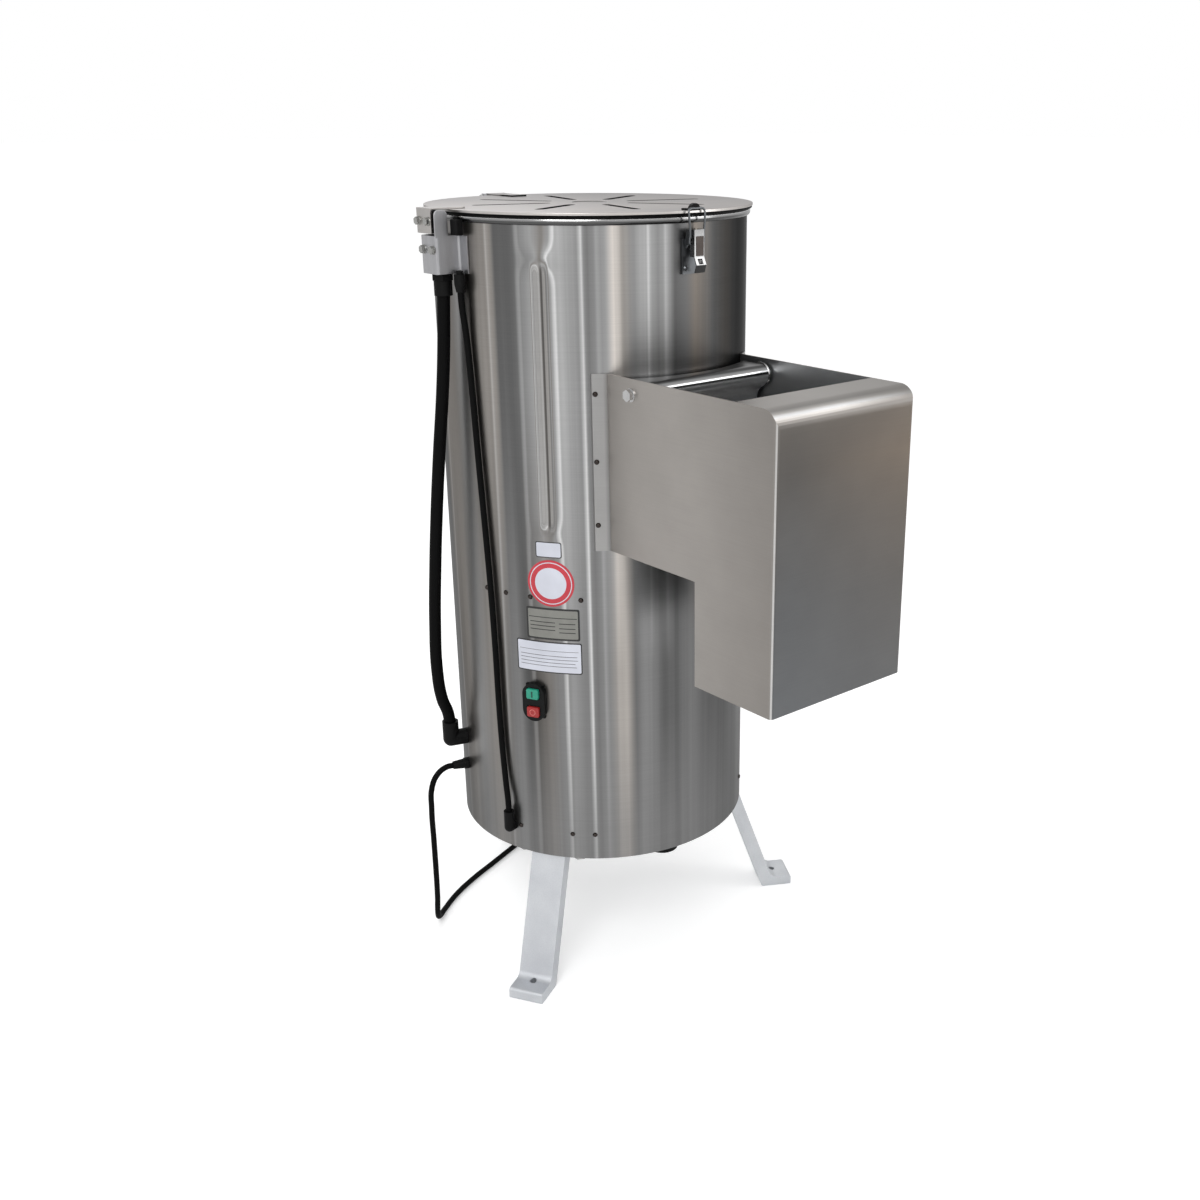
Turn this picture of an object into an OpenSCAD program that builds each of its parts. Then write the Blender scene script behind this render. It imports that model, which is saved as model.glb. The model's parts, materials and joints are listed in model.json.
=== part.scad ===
// Electric potato peeler: a tall stainless drum on three cast legs, with a vented lid,
// a discharge door behind a chute guard, and a belt-driven abrasive disc inside.
// Millimetres. +Z is up, the origin is on the drum's axis at floor level, and the chute faces -Y.

/* [Drum] */
// Outer diameter of the drum
drum_d = 400; // [360:5:440]
// Thickness of the drum's sheet
drum_wall = 1.5; // [1:0.25:2.5]
// Height of the drum's lower edge above the floor
drum_bottom_z = 178; // [160:1:200]
// Height of the lid's top face above the floor
overall_h = 1010; // [980:1:1060]
// Diameter of the rolled bead round the drum's mouth
rim_bead_d = 5.5; // [4:0.5:7]
// Number of vertical ribs pressed into the peeling chamber
rib_count = 4; // [2:1:4]
// Direction of the first rib in plan, in degrees
rib_angle = -144.5; // [-148:0.5:-140]
// Radius of the rib's pressed groove
rib_r = 9; // [7:0.5:11]
// How deep the rib is pressed in
rib_depth = 4; // [3:0.5:6]
// Height of the rib's lower end
rib_z0 = 630; // [625:1:660]
// Height of the rib's upper end
rib_z1 = 950; // [900:1:960]

/* [Lid] */
// Diameter of the lid's plate
lid_d = 414; // [412:1:420]
// Thickness of the lid's plate
lid_t = 3; // [2:0.5:4]
// Thickness of the seal under the lid
gasket_t = 3.2; // [2:0.2:5]
// Width of the seal under the lid
gasket_w = 10; // [6:1:16]
// Number of radial slots in the lid
slot_count = 8; // [4:1:10]
// Direction of the first slot in plan, in degrees
slot_angle = -150; // [-160:1:-140]
// Inner end of the slots, from the axis
slot_r0 = 58; // [50:1:70]
// Outer end of the slots, from the axis
slot_r1 = 148; // [120:1:165]
// Width of the slots
slot_w = 12; // [6:0.5:16]
// Diameter of the shallow dish at the lid's centre
dish_d = 44; // [30:1:60]
// Depth of that dish
dish_depth = 0.8; // [0.4:0.1:1.5]
// Diameter of the lid's hinge pin
hinge_pin_d = 6; // [5:0.5:8]
// Width of the lid's own hinge knuckle
hinge_knuckle_w = 24; // [16:1:40]

/* [Chute guard] */
// Outer width of the guard
guard_w = 217; // [205:1:225]
// Thickness of the guard's sheet
guard_t = 2; // [1.5:0.25:3]
// Height of the guard's top edge
guard_top_z = 828; // [826:1:850]
// Distance of the guard's front face from the axis
guard_front = 457; // [430:1:480]
// Radius of the bend along the front's top
guard_bend_r = 21.5; // [12:0.5:30]
// Depth of the lip behind that bend, from the front face
guard_lip = 65; // [45:1:85]
// Height of the guard's step, where the floor of the chute is
step_z = 610; // [600:1:611]
// Height of the spout's lower edge
spout_bottom_z = 479.5; // [440:0.5:520]
// Distance of the spout's inner wall from the axis
spout_inner = 328; // [310:1:350]
// Width of the flanges that lie on the drum
flange_w = 15; // [12:1:22]
// Radius of the guard's upright front corners
guard_corner_r = 5; // [3:0.5:8]

/* [Discharge door] */
// Width of the opening in the drum
opening_w = 176; // [150:1:180]
// Height of the opening's sill
opening_z0 = 632; // [628:1:650]
// Height of the opening's upper edge
opening_z1 = 785; // [760:1:787]
// Height of the door's top face
door_top_z = 822; // [820:0.5:823]
// Height of the door's lower edge
door_bottom_z = 619; // [618:0.5:622]
// Width of the door's seal
door_seal_w = 11; // [8:0.5:14]
// Distance of the door's front face from the axis
door_front = 207; // [206:0.5:208]
// Thickness of the door's sheet
door_t = 2; // [1.5:0.25:3]
// Diameter of the rod that the door hangs on
rod_d = 12; // [10:0.5:12]
// Distance of the rod from the axis
rod_y = 215; // [214.5:0.5:218]
// Height of the rod
rod_z = 809; // [806:0.5:810]
// Radius of the door's ears round the rod
door_ear_r = 14; // [11:0.5:15]
// Reach of the door's handle in front of the door
door_handle_reach = 32; // [28:1:40]

/* [Legs] */
// Distance of the foot holes from the axis
foot_hole_r = 258; // [250:1:270]
// Diameter of the foot holes
foot_hole_d = 9; // [6:0.5:12]
// Width of a leg
leg_w = 48; // [40:1:60]
// Horizontal thickness of a leg
leg_t = 20; // [12:0.5:24]
// Thickness of the foot
foot_t = 15; // [9:0.5:18]
// Length of the foot beyond its hole
foot_toe = 25; // [18:1:32]
// Thickness of the leg's upper flange
leg_flange_t = 8; // [6:0.5:10]

/* [Latch] */
// Sideways place of the latch
latch_x = -3; // [-10:1:10]
// Width of the latch's lever
lever_w = 15; // [12:0.5:18]
// Diameter of the bail's wire
bail_d = 3; // [2.5:0.25:4]
// Width of the bail between its wires' centres
bail_w = 26; // [24:1:30]

/* [Switch] */
// Direction of the switch in plan, in degrees
switch_angle = -151.8; // [-156:0.2:-146]
// Height of the switch's centre
switch_z = 403.5; // [380:0.5:430]
// Width of the switch's housing
switch_w = 31; // [29:1:38]
// Height of the switch's housing
switch_h = 52; // [50:1:64]
// How far the housing stands out of the drum
switch_depth = 8; // [6:0.5:12]
// Width of a push button
button_w = 17; // [14:0.5:19]
// Height of a push button
button_h = 14; // [12:0.5:15]
// Travel of a push button
button_travel = 3; // [2:0.5:4]

/* [Drive] */
// Height of the chamber floor's underside
floor_z = 548; // [540:1:556]
// Thickness of the chamber floor
floor_t = 4; // [3:0.5:6]
// Diameter of the abrasive disc
disc_d = 380; // [340:2:384]
// Height of the disc's underside
disc_z = 590; // [584:1:594]
// Thickness of the disc
disc_t = 10; // [8:1:14]
// Thickness of the abrasive coating
coating_t = 4; // [2:0.5:6]
// Height of the coating's three humps
hump_h = 9; // [4:1:12]
// Diameter of the main shaft
shaft_d = 25; // [20:1:30]
// Outer diameter of the shaft's bearings
bearing_od = 52; // [47:1:62]
// Width of the shaft's bearings
bearing_w = 15; // [12:1:20]
// Outer diameter of the bearing housing
housing_d = 80; // [76:1:90]
// Outer diameter of the large pulley
large_pulley_d = 190; // [160:2:200]
// Outer diameter of the small pulley
small_pulley_d = 50; // [46:1:56]
// Distance between the pulleys' axes
pulley_distance = 131; // [130:1:132]
// Height of the pulleys' mid plane
pulley_z = 232; // [228:1:238]
// Width of the belt
belt_w = 10; // [8:0.5:12]
// Diameter of the motor's housing
motor_d = 124; // [112:1:126]
// Height of the motor's housing
motor_h = 200; // [160:5:220]
// Diameter of the motor's shaft
motor_shaft_d = 16; // [14:0.5:19]

/* [Cables] */
// Diameter of the sensor's conduit
conduit_d = 16; // [13:0.5:18]
// Diameter of the thin sensor cable
cable_d = 8; // [6:0.5:9]
// Diameter of the power cord
cord_d = 8; // [7:0.5:9]

/* [Hidden] */
$fn = 96;

drum_r = drum_d / 2;
drum_inner_r = drum_r - drum_wall;
lid_r = lid_d / 2;
seal_gap = 0.3;
fit_gap = 0.2;
run_gap = 0.05;
rim_top_z = overall_h - lid_t - gasket_t - seal_gap;
rim_bead_r = rim_bead_d / 2;
rim_outer_r = drum_inner_r + rim_bead_d;
lid_z = overall_h - lid_t;
gasket_z = lid_z - gasket_t;

label_t = 0.4;
label_gap = 0.05;
// Each plate's two directions in plan and its two heights
label_rects = [[-149.5, -139.8, 599, 619.5], [-154.2, -134, 490, 532.5], [-158.8, -133.5, 444.5, 487]];
round_label_d = 61;
round_label_angle = -144.3;
round_label_z = 565.5;

hinge_y = lid_r + 13;
hinge_z = lid_z - 1;
hinge_barrel_r = hinge_pin_d / 2 + 3;
hinge_ear_t = 5.5;
hinge_side_gap = 0.5;
hinge_plate_t = 2;
hinge_plate_w = 60;
hinge_plate_z0 = overall_h - 70;
hinge_plate_z1 = overall_h - 25;

guard_hw = guard_w / 2;
guard_lip_y = guard_front - guard_lip;
floor_panel_hw = guard_hw - guard_t - fit_gap;

door_side_gap = 1.5;
door_hw = guard_hw - guard_t - door_side_gap;
door_seat_gap = 3;
door_top_gap = 8;
handle_bar_d = 10;
handle_hw = 45;
handle_z = 668;
rod_washer_t = 1.2;
rod_washer_d = 20;
rod_bolt_af = 13;
rod_bolt_h = 5.5;

base_t = 4;
base_rim_t = 2;
base_z = drum_bottom_z + leg_flange_t;
base_rim_h = 36;
base_r = drum_inner_r - fit_gap;
floor_r = drum_inner_r - fit_gap;
floor_skirt_h = 14;
floor_skirt_t = 2;

leg_angles = [-150, -30, 90];
leg_flange_hw = 52;
leg_flange_r0 = 150;
leg_flange_r1 = base_r - 1;
leg_bolt_r = 180;
leg_bolt_side = 40;
leg_bolt_d = 10;
leg_bolt_af = 17;
leg_bolt_head = 6.4;
leg_foot_edge = foot_hole_r - 6;
leg_top_r = base_r - 7;
leg_lean = (leg_foot_edge - leg_top_r) / (base_z - foot_t);

drain_x = -25;
drain_y = -165;
drain_d = 42;
drain_bore = 36;
drain_bottom_z = 164;
drain_flange_d = 56;
drain_flange_t = 4;

screw_head_d = 7;
screw_head_h = 2;
screw_shank_d = 4;
screw_shank_l = 5;
upper_screw_z = 545;
lower_screw_z = 214;
upper_screw_angles = [-172.4, -162.9, -152.4, -133.4, -46.6, 0, 60, 120];
lower_screw_angles = [-161, -139.2, -130.6, -49.4, -19, 71, 109];
flange_screw_z = [804, 722, 643];
flange_screw_x = guard_hw + flange_w - 4.5;

bearing_z = [284, 512];
bearing_bore_r = shaft_d / 2 + run_gap;
housing_z0 = 268;
housing_flange_d = 130;
housing_flange_t = 8;
housing_foot_d = 116;
seal_od = 46;
seal_h = 8;
shaft_z0 = 206;
shaft_z1 = 622;
disc_hub_d = 60;
disc_hub_h = 26;
disc_nut_af = 36;
disc_nut_h = 12;
hump_angles = [30, 150, 270];
hump_reach = 150;
hump_start = 34;

pulley_w = belt_w + 10;
groove_depth = 11;
large_r = large_pulley_d / 2;
small_r = small_pulley_d / 2;
belt_gap = 0.3;
belt_t = 8;
plate_t = 6;
plate_z = housing_z0 - plate_t;
plate_hw = 68;
motor_y = pulley_distance;
rotor_d = 70;
rotor_h = 110;
motor_end_t = 10;
motor_bore_d = rotor_d + 2;
motor_shaft_z0 = pulley_z - pulley_w / 2 - 3;
fin_count = 20;
fin_t = 3;
fin_h = 3;

box_y0 = -12;
box_y1 = 22;
box_x0 = -234;
box_z0 = overall_h - 73;
box_z1 = overall_h - 29;
box_t = 2;
tongue_x1 = -216;
tongue_top_z = overall_h;
tongue_corner_r = 7;
box_flange_y0 = -27;
sensor_screw_z = overall_h - 45;
actuator_screw_z = overall_h - 13;
sensor_screw_y = [-6, 15];
actuator_screw_y = [2, 23];
actuator_z0 = overall_h - 27;
actuator_y0 = -4;
actuator_y1 = 27;

gland_x = -217;
gland_y = 5;
gland_z1 = box_z0;
gland_z0 = box_z0 - 26;
gland_d = 24;
thin_gland_x = -208;
thin_gland_y = -19;
thin_gland_z0 = box_z0 - 21;
thin_gland_d = 14;
elbow_angle = 163;
elbow_r = 222;
elbow_z = 304;
elbow_top_z = 330;
elbow_d = 22;
thin_entry_angle = -164.6;
thin_entry_r = 209;
thin_entry_z = 212;
thin_entry_top_z = 236;
thin_entry_d = 14;
cord_exit_angle = 163;
cord_exit_z = 262;
cord_gland_r = 222;
cord_gland_d = 16;
tube_sides = 10;

switch_body_w = 26;
switch_body_h = 46;
switch_body_depth = 38;
button_gap = 0.4;
button_pitch = 25;
button_stand = 3.5;
button_pocket = switch_depth + button_travel;

contactor_x = -92;
contactor_y = -100;
contactor_size = [52, 60, 84];

inlet_angle = 60;
inlet_z = overall_h - 80;
inlet_d = 20;
inlet_reach = 30;
inlet_tail_d = 13;
inlet_tail_h = 46;
inlet_nut_d = 32;
inlet_nut_t = 5;
inlet_nut_gap = 1.2;

lever_pivot_y = 208.5;
lever_pivot_z = overall_h - 25;
bail_pivot_y = 210;
bail_pivot_z = overall_h - 38;
bail_top_z = overall_h + 2;
lever_pin_r = 1.5;
lever_web_t = 1.5;
lever_front = 215;
lever_low_z = overall_h - 52;
lever_tip_z = overall_h - 70;
lever_tip_y = 219;
latch_plate_w = 30;
latch_plate_t = 2;
latch_plate_z0 = overall_h - 72;
latch_plate_z1 = overall_h - 32;
latch_ear_t = 2;
latch_gap = 0.4;
catch_w = 16;
catch_gap = 0.4;
catch_h = 8;

// Routes of the cables from fitting to fitting: x, y, and the height in percent of the way up
conduit_course = [
    [-217, 5, 100], [-217, 7, 96.8], [-217, 12, 89.1], [-219, 19, 78.8], [-223, 29, 66],
    [-226, 40, 52.4], [-228, 50, 38.7], [-229, 58, 25.9], [-228, 63, 14], [-222, 65, 6.3],
    [-215, 65.3, 2.9], [-212.4, 65, 0]
];
thin_course = [
    [-208, -19, 100], [-207.6, -19.4, 97.2], [-205.2, -21, 92.8], [-203.9, -25, 84.1],
    [-203.2, -30, 70.9], [-202.3, -35.5, 57.8], [-201.5, -40, 45.4], [-201, -42.5, 33.7],
    [-200.8, -43.5, 23.5], [-200.3, -45.6, 14], [-200.4, -50.4, 6], [-201.2, -54.6, 2.3],
    [-201.5, -55.5, 0]
];
function course(points, low_z, high_z) = [for (p = points) [p[0], p[1], low_z + (high_z - low_z) * p[2] / 100]];
conduit_route = course(conduit_course, elbow_top_z - 2, gland_z0 + 3);
thin_route = course(thin_course, thin_entry_top_z - 2, thin_gland_z0 + 3);
cord_route = [
    [-211, 64.5, 262], [-222, 67.9, 261], [-234, 72, 252], [-242, 75, 234], [-244, 77, 200],
    [-243, 79, 150], [-242, 81, 100], [-241, 84, 55], [-239, 90, 22], [-230, 102, 8],
    [-212, 118, 4.5], [-180, 140, 4.5], [-135, 163, 4.5], [-85, 183, 4.5], [-30, 205, 4.5],
    [30, 228, 4.5], [85, 247, 4.5], [125, 250, 4.5], [148, 245.5, 4.5]
];
coil_x = 150;
coil_y = 193;
coil_mid_r = 44;
coil_w = 16.5;
coil_h = 24.5;
coil_lift = 0.5;
plug_d = 30;
plug_l = 42;
plug_tail = 18;
plug_angle = 75;
plug_x = coil_x + coil_mid_r + 12;
plug_y = coil_y + 41;

// ---------------------------------------------------------------- helpers

// Puts its children on the drum's wall: their +Z points outwards, their +Y points down
module on_drum(angle, z) {
    rotate([0, 0, angle]) translate([drum_r, 0, z]) rotate([0, 90, 0]) children();
}

module tube(outer_r, inner_r, h) {
    difference() {
        cylinder(r = outer_r, h = h);
        translate([0, 0, -1]) cylinder(r = inner_r, h = h + 2);
    }
}

module bar_x(d, x0, x1, y, z) {
    translate([x0, y, z]) rotate([0, 90, 0]) cylinder(d = d, h = x1 - x0);
}

module hex(af, h) {
    linear_extrude(h) circle(d = af / cos(30), $fn = 6);
}

// A pan-head screw whose head sits on z = 0 and whose shank runs to -Z
module pan_screw() {
    cylinder(d1 = screw_head_d, d2 = screw_head_d - 2.5, h = screw_head_h);
    translate([0, 0, -screw_shank_l]) cylinder(d = screw_shank_d, h = screw_shank_l + 0.1);
}

module shell_screw_holes() {
    for (a = upper_screw_angles) on_drum(a, upper_screw_z) screw_hole();
    for (a = lower_screw_angles) on_drum(a, lower_screw_z) screw_hole();
}

module screw_hole() {
    translate([0, 0, -screw_shank_l - 2]) cylinder(d = screw_shank_d + 2 * fit_gap, h = screw_shank_l + 6);
}

// An upright slice between two distances in front of the axis
module yz_plate(points, x0, x1) {
    translate([x0, 0, 0]) rotate([90, 0, 90]) linear_extrude(x1 - x0) polygon(points);
}

function arc(cx, cy, r, a0, a1, n) = [for (i = [0:n]) let (a = a0 + (a1 - a0) * i / n) [cx + r * cos(a), cy + r * sin(a)]];

// A smooth line through the points p, with n steps from each to the next
function pick(p, i) = p[max(0, min(len(p) - 1, i))];
function blend4(a, b, c, d, t) =
    0.5 * (2 * b + (c - a) * t + (2 * a - 5 * b + 4 * c - d) * t * t + (3 * b - a - 3 * c + d) * t * t * t);
function smooth(p, n) = concat(
    [for (i = [0:len(p) - 2], j = [0:n - 1])
        blend4(pick(p, i - 1), pick(p, i), pick(p, i + 1), pick(p, i + 2), j / n)],
    [p[len(p) - 1]]
);
function unit(v) = v / norm(v);
function heading(p, i) = unit(pick(p, i + 1) - pick(p, i - 1));
// The side direction is carried along the line, so that the tube doesn't twist
function carried(side, dir) = unit(side - (side * dir) * dir);
function sides_of(p, i, side) = i >= len(p) ? [] :
    let (s = carried(side, heading(p, i))) concat([s], sides_of(p, i + 1, s));

module swept_tube(route, d, n, first_side) {
    p = smooth(route, n);
    s = sides_of(p, 0, first_side);
    rings = [for (i = [0:len(p) - 1], k = [0:tube_sides - 1])
        let (t = heading(p, i), a = 360 * k / tube_sides)
        p[i] + d / 2 * (cos(a) * s[i] + sin(a) * cross(t, s[i]))];
    last = len(p) - 1;
    walls = [for (i = [0:last - 1], k = [0:tube_sides - 1])
        let (b = i * tube_sides, m = (k + 1) % tube_sides)
        [b + k, b + tube_sides + k, b + tube_sides + m, b + m]];
    start_cap = [for (k = [0:tube_sides - 1]) k];
    end_cap = [for (k = [tube_sides - 1:-1:0]) last * tube_sides + k];
    polyhedron(points = rings, faces = concat(walls, [start_cap], [end_cap]), convexity = 8);
}

// ---------------------------------------------------------------- drum and base

module rib_form(r, extra) {
    for (i = [0:rib_count - 1]) rotate([0, 0, rib_plan(i)]) translate([drum_r + rib_r - rib_depth, 0, 0]) {
        translate([0, 0, rib_z0]) cylinder(r = r, h = rib_z1 - rib_z0);
        translate([0, 0, rib_z0]) sphere(r = r);
        translate([0, 0, rib_z1]) sphere(r = r);
    }
}

// The ribs stand in mirrored pairs about the chute
function rib_plan(i) = i == 0 ? rib_angle : i == 1 ? -180 - rib_angle : i == 2 ? -rib_angle : 180 + rib_angle;

module drum_casing() {
    color([0.62, 0.62, 0.61]) difference() {
        union() {
            translate([0, 0, drum_bottom_z]) tube(drum_r, drum_inner_r, rim_top_z - rim_bead_r - drum_bottom_z);
            rotate_extrude() translate([drum_inner_r + rim_bead_r, rim_top_z - rim_bead_r]) circle(r = rim_bead_r);
            intersection() {
                rib_form(rib_r + drum_wall);
                translate([0, 0, drum_bottom_z]) cylinder(r = drum_r - 0.2, h = rim_top_z - drum_bottom_z);
            }
        }
        rib_form(rib_r);
        translate([-opening_w / 2, -drum_r - 20, opening_z0])
            cube([opening_w, 100, opening_z1 - opening_z0]);
        shell_screw_holes();
        on_drum(switch_angle, switch_z) translate([-switch_body_h / 2 - fit_gap, -switch_body_w / 2 - fit_gap, -10])
            cube([switch_body_h + 2 * fit_gap, switch_body_w + 2 * fit_gap, 20]);
        on_drum(elbow_angle, elbow_z) translate([0, 0, -10]) cylinder(d = elbow_neck_d() + 2 * fit_gap, h = 20);
        on_drum(thin_entry_angle, thin_entry_z) translate([0, 0, -10])
            cylinder(d = thin_neck_d() + 2 * fit_gap, h = 20);
        on_drum(cord_exit_angle, cord_exit_z) translate([0, 0, -10])
            cylinder(d = cord_neck_d() + 2 * fit_gap, h = 20);
        on_drum(inlet_angle, inlet_z) translate([0, 0, -10]) cylinder(d = inlet_d + 2 * fit_gap, h = 20);
    }
}

module chamber_floor() {
    color([0.66, 0.66, 0.65]) difference() {
        union() {
            translate([0, 0, floor_z]) cylinder(r = floor_r, h = floor_t);
            translate([0, 0, floor_z + floor_t - floor_skirt_h])
                tube(floor_r, floor_r - floor_skirt_t, floor_skirt_h);
        }
        translate([0, 0, floor_z - 1]) cylinder(d = seal_od + 2 * run_gap, h = floor_t + 2);
        translate([drain_x, drain_y, floor_z - 1]) cylinder(d = drain_bore, h = floor_t + 2);
        shell_screw_holes();
    }
}

module base_plate() {
    color([0.55, 0.56, 0.56]) difference() {
        union() {
            translate([0, 0, base_z]) cylinder(r = base_r, h = base_t);
            translate([0, 0, base_z]) tube(base_r, base_r - base_rim_t, base_rim_h);
        }
        translate([drain_x, drain_y, base_z - 1]) cylinder(d = drain_d + 2, h = base_t + 2);
        for (a = leg_angles) rotate([0, 0, a]) leg_bolt_holes(base_z - 1, base_t + 2);
        shell_screw_holes();
        on_drum(thin_entry_angle, thin_entry_z) translate([0, 0, -14]) cylinder(d = thin_entry_d + 2, h = 18);
    }
}

module leg_bolt_holes(z, h) {
    for (s = [-1, 1]) translate([leg_bolt_r, s * leg_bolt_side, z]) cylinder(d = leg_bolt_d + 2 * fit_gap, h = h);
}

function leg_outer(z) = leg_foot_edge + (foot_t - z) * leg_lean;

module leg(angle) {
    bar = [
        [leg_outer(drum_bottom_z) - leg_t, drum_bottom_z + 1],
        [leg_outer(0) - leg_t, 0],
        [foot_hole_r + foot_toe, 0],
        [foot_hole_r + foot_toe, foot_t],
        [leg_outer(foot_t), foot_t],
        [leg_outer(base_z), base_z],
        [leg_outer(base_z) - leg_t, base_z]
    ];
    color([0.78, 0.79, 0.80]) rotate([0, 0, angle]) difference() {
        union() {
            translate([0, leg_w / 2, 0]) rotate([90, 0, 0]) linear_extrude(leg_w) polygon(bar);
            intersection() {
                translate([leg_flange_r0, -leg_flange_hw, drum_bottom_z])
                    cube([leg_flange_r1 - leg_flange_r0, 2 * leg_flange_hw, leg_flange_t]);
                translate([0, 0, drum_bottom_z - 1]) cylinder(r = leg_flange_r1, h = leg_flange_t + 2);
            }
        }
        leg_bolt_holes(drum_bottom_z - 1, leg_flange_t + 2);
        translate([foot_hole_r, 0, -1]) cylinder(d = foot_hole_d, h = foot_t + 2);
    }
}

module leg_front_left() { leg(leg_angles[0]); }
module leg_front_right() { leg(leg_angles[1]); }
module leg_rear() { leg(leg_angles[2]); }

module leg_bolts() {
    nut_z = base_z + base_t;
    color([0.7, 0.7, 0.7]) for (a = leg_angles, s = [-1, 1])
        rotate([0, 0, a]) translate([leg_bolt_r, s * leg_bolt_side, 0]) {
            translate([0, 0, drum_bottom_z - leg_bolt_head]) hex(leg_bolt_af, leg_bolt_head);
            translate([0, 0, drum_bottom_z - 1]) cylinder(d = leg_bolt_d, h = nut_z + 12 - drum_bottom_z);
            translate([0, 0, nut_z]) hex(leg_bolt_af, 8);
        }
}

module casing_screws() {
    color([0.5, 0.5, 0.5]) {
        for (a = upper_screw_angles) on_drum(a, upper_screw_z) pan_screw();
        for (a = lower_screw_angles) on_drum(a, lower_screw_z) pan_screw();
    }
}

// ---------------------------------------------------------------- chute

// Side outline of the guard, drawn in from its faces by inset
function guard_outline(inset, low_z, back_y) = concat(
    [[back_y, low_z], [-guard_front + inset, low_z]],
    arc(-guard_front + guard_bend_r, guard_top_z - guard_bend_r, guard_bend_r - inset, 180, 90, 12),
    [[back_y, guard_top_z - inset]]
);

module guard_envelope(inset, low_z, back_y) {
    intersection() {
        yz_plate(guard_outline(inset, low_z, back_y), -guard_hw + inset, guard_hw - inset);
        translate([0, 0, low_z - 1]) linear_extrude(guard_top_z - low_z + 2)
            corner_plan(guard_corner_r - inset, inset, back_y);
    }
}

module corner_plan(r, inset, back_y) {
    hw = guard_hw - inset;
    front = -guard_front + inset;
    translate([-hw, front + r]) square([2 * hw, back_y - front - r]);
    translate([-hw + r, front]) square([2 * (hw - r), r + 1]);
    for (s = [-1, 1]) translate([s * (hw - r), front + r]) circle(r = r);
}

module chute_guard() {
    seat_r = drum_r + seal_gap;
    color([0.60, 0.59, 0.56]) difference() {
        union() {
            difference() {
                guard_envelope(0, spout_bottom_z, -100);
                guard_envelope(guard_t, spout_bottom_z - 20, -50);
            }
            guard_flanges(seat_r);
        }
        translate([0, 0, spout_bottom_z - 30]) cylinder(r = seat_r, h = guard_top_z);
        translate([-guard_hw - 1, -spout_inner, spout_bottom_z - 10])
            cube([guard_w + 2, spout_inner, step_z - spout_bottom_z + 10]);
        translate([-guard_hw + guard_t, -guard_lip_y, guard_top_z - guard_t - 1])
            cube([guard_w - 2 * guard_t, guard_lip_y, guard_t + 2]);
        for (s = [-1, 1]) bar_x(rod_screw_d() + 2 * fit_gap, s * guard_hw - 5, s * guard_hw + 5, -rod_y, rod_z);
        for (s = [-1, 1], z = flange_screw_z) flange_screw_place(s, z) screw_hole();
    }
}

function rod_screw_d() = 8;

module guard_flanges(seat_r) {
    intersection() {
        translate([0, 0, step_z]) tube(seat_r + guard_t, seat_r, guard_top_z - step_z);
        union() for (s = [-1, 1]) translate([s > 0 ? guard_hw - guard_t : -guard_hw - flange_w, -drum_r, 0])
            cube([flange_w + guard_t, drum_r, guard_top_z]);
    }
}

module flange_screw_place(s, z) {
    a = atan2(-sqrt(pow(drum_r, 2) - pow(flange_screw_x, 2)), s * flange_screw_x);
    rotate([0, 0, a]) translate([drum_r + seal_gap + guard_t, 0, z]) rotate([0, 90, 0]) children();
}

module guard_screws() {
    color([0.5, 0.5, 0.5]) for (s = [-1, 1], z = flange_screw_z) flange_screw_place(s, z)
        cylinder(d1 = screw_head_d, d2 = screw_head_d - 2.5, h = screw_head_h);
}

module chute_floor() {
    color([0.60, 0.59, 0.56]) difference() {
        union() {
            translate([-floor_panel_hw, -spout_inner - guard_t, step_z])
                cube([2 * floor_panel_hw, spout_inner, guard_t]);
            translate([-floor_panel_hw, -spout_inner - guard_t, spout_bottom_z])
                cube([2 * floor_panel_hw, guard_t, step_z - spout_bottom_z + guard_t]);
        }
        translate([0, 0, step_z - 5]) cylinder(r = drum_r + seal_gap, h = 20);
        translate([-guard_hw, -100, step_z - 5]) cube([guard_w, 110, 20]);
    }
}

// ---------------------------------------------------------------- discharge door

module door_rod() {
    reach = guard_hw - guard_t - fit_gap;
    color([0.75, 0.75, 0.75]) difference() {
        bar_x(rod_d, -reach, reach, -rod_y, rod_z);
        for (s = [-1, 1]) bar_x(rod_screw_d() + 2 * fit_gap, s * reach - 16, s * reach + 16, -rod_y, rod_z);
    }
}

module rod_bolts() {
    color([0.72, 0.72, 0.72]) for (s = [-1, 1]) translate([s * guard_hw, -rod_y, rod_z]) rotate([0, s * 90, 0]) {
        cylinder(d = rod_washer_d - 4, h = rod_washer_t);
        translate([0, 0, rod_washer_t]) hex(rod_bolt_af, rod_bolt_h);
        translate([0, 0, -guard_t - 14]) cylinder(d = rod_screw_d(), h = guard_t + 14.5);
    }
}

module door_cut() {
    translate([0, 0, door_bottom_z - 10]) cylinder(r = drum_r + door_seat_gap, h = 300);
    translate([0, 0, rod_z - 8]) cylinder(r = drum_r + door_top_gap, h = 100);
}

// A shallow box, open towards the drum, whose upper edge is rolled round the rod
module door_shell() {
    ear_t = 4;
    h = door_top_z - door_bottom_z;
    color([0.5, 0.5, 0.51]) {
        difference() {
            translate([-door_hw, -door_front, door_bottom_z]) cube([2 * door_hw, door_front - 150, h]);
            translate([-door_hw + door_t, -door_front + door_t, door_bottom_z + door_t])
                cube([2 * (door_hw - door_t), door_front, h - 2 * door_t]);
            door_cut();
            bar_x(2 * door_ear_r - door_t / 1.5, -door_hw - 1, door_hw + 1, -rod_y, rod_z);
        }
        difference() {
            bar_x(2 * door_ear_r, -door_hw, door_hw, -rod_y, rod_z);
            bar_x(rod_d + 2 * run_gap, -door_hw - 1, door_hw + 1, -rod_y, rod_z);
            bar_x(2 * (door_ear_r - door_t), -door_hw + ear_t, door_hw - ear_t, -rod_y, rod_z);
        }
    }
}

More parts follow.
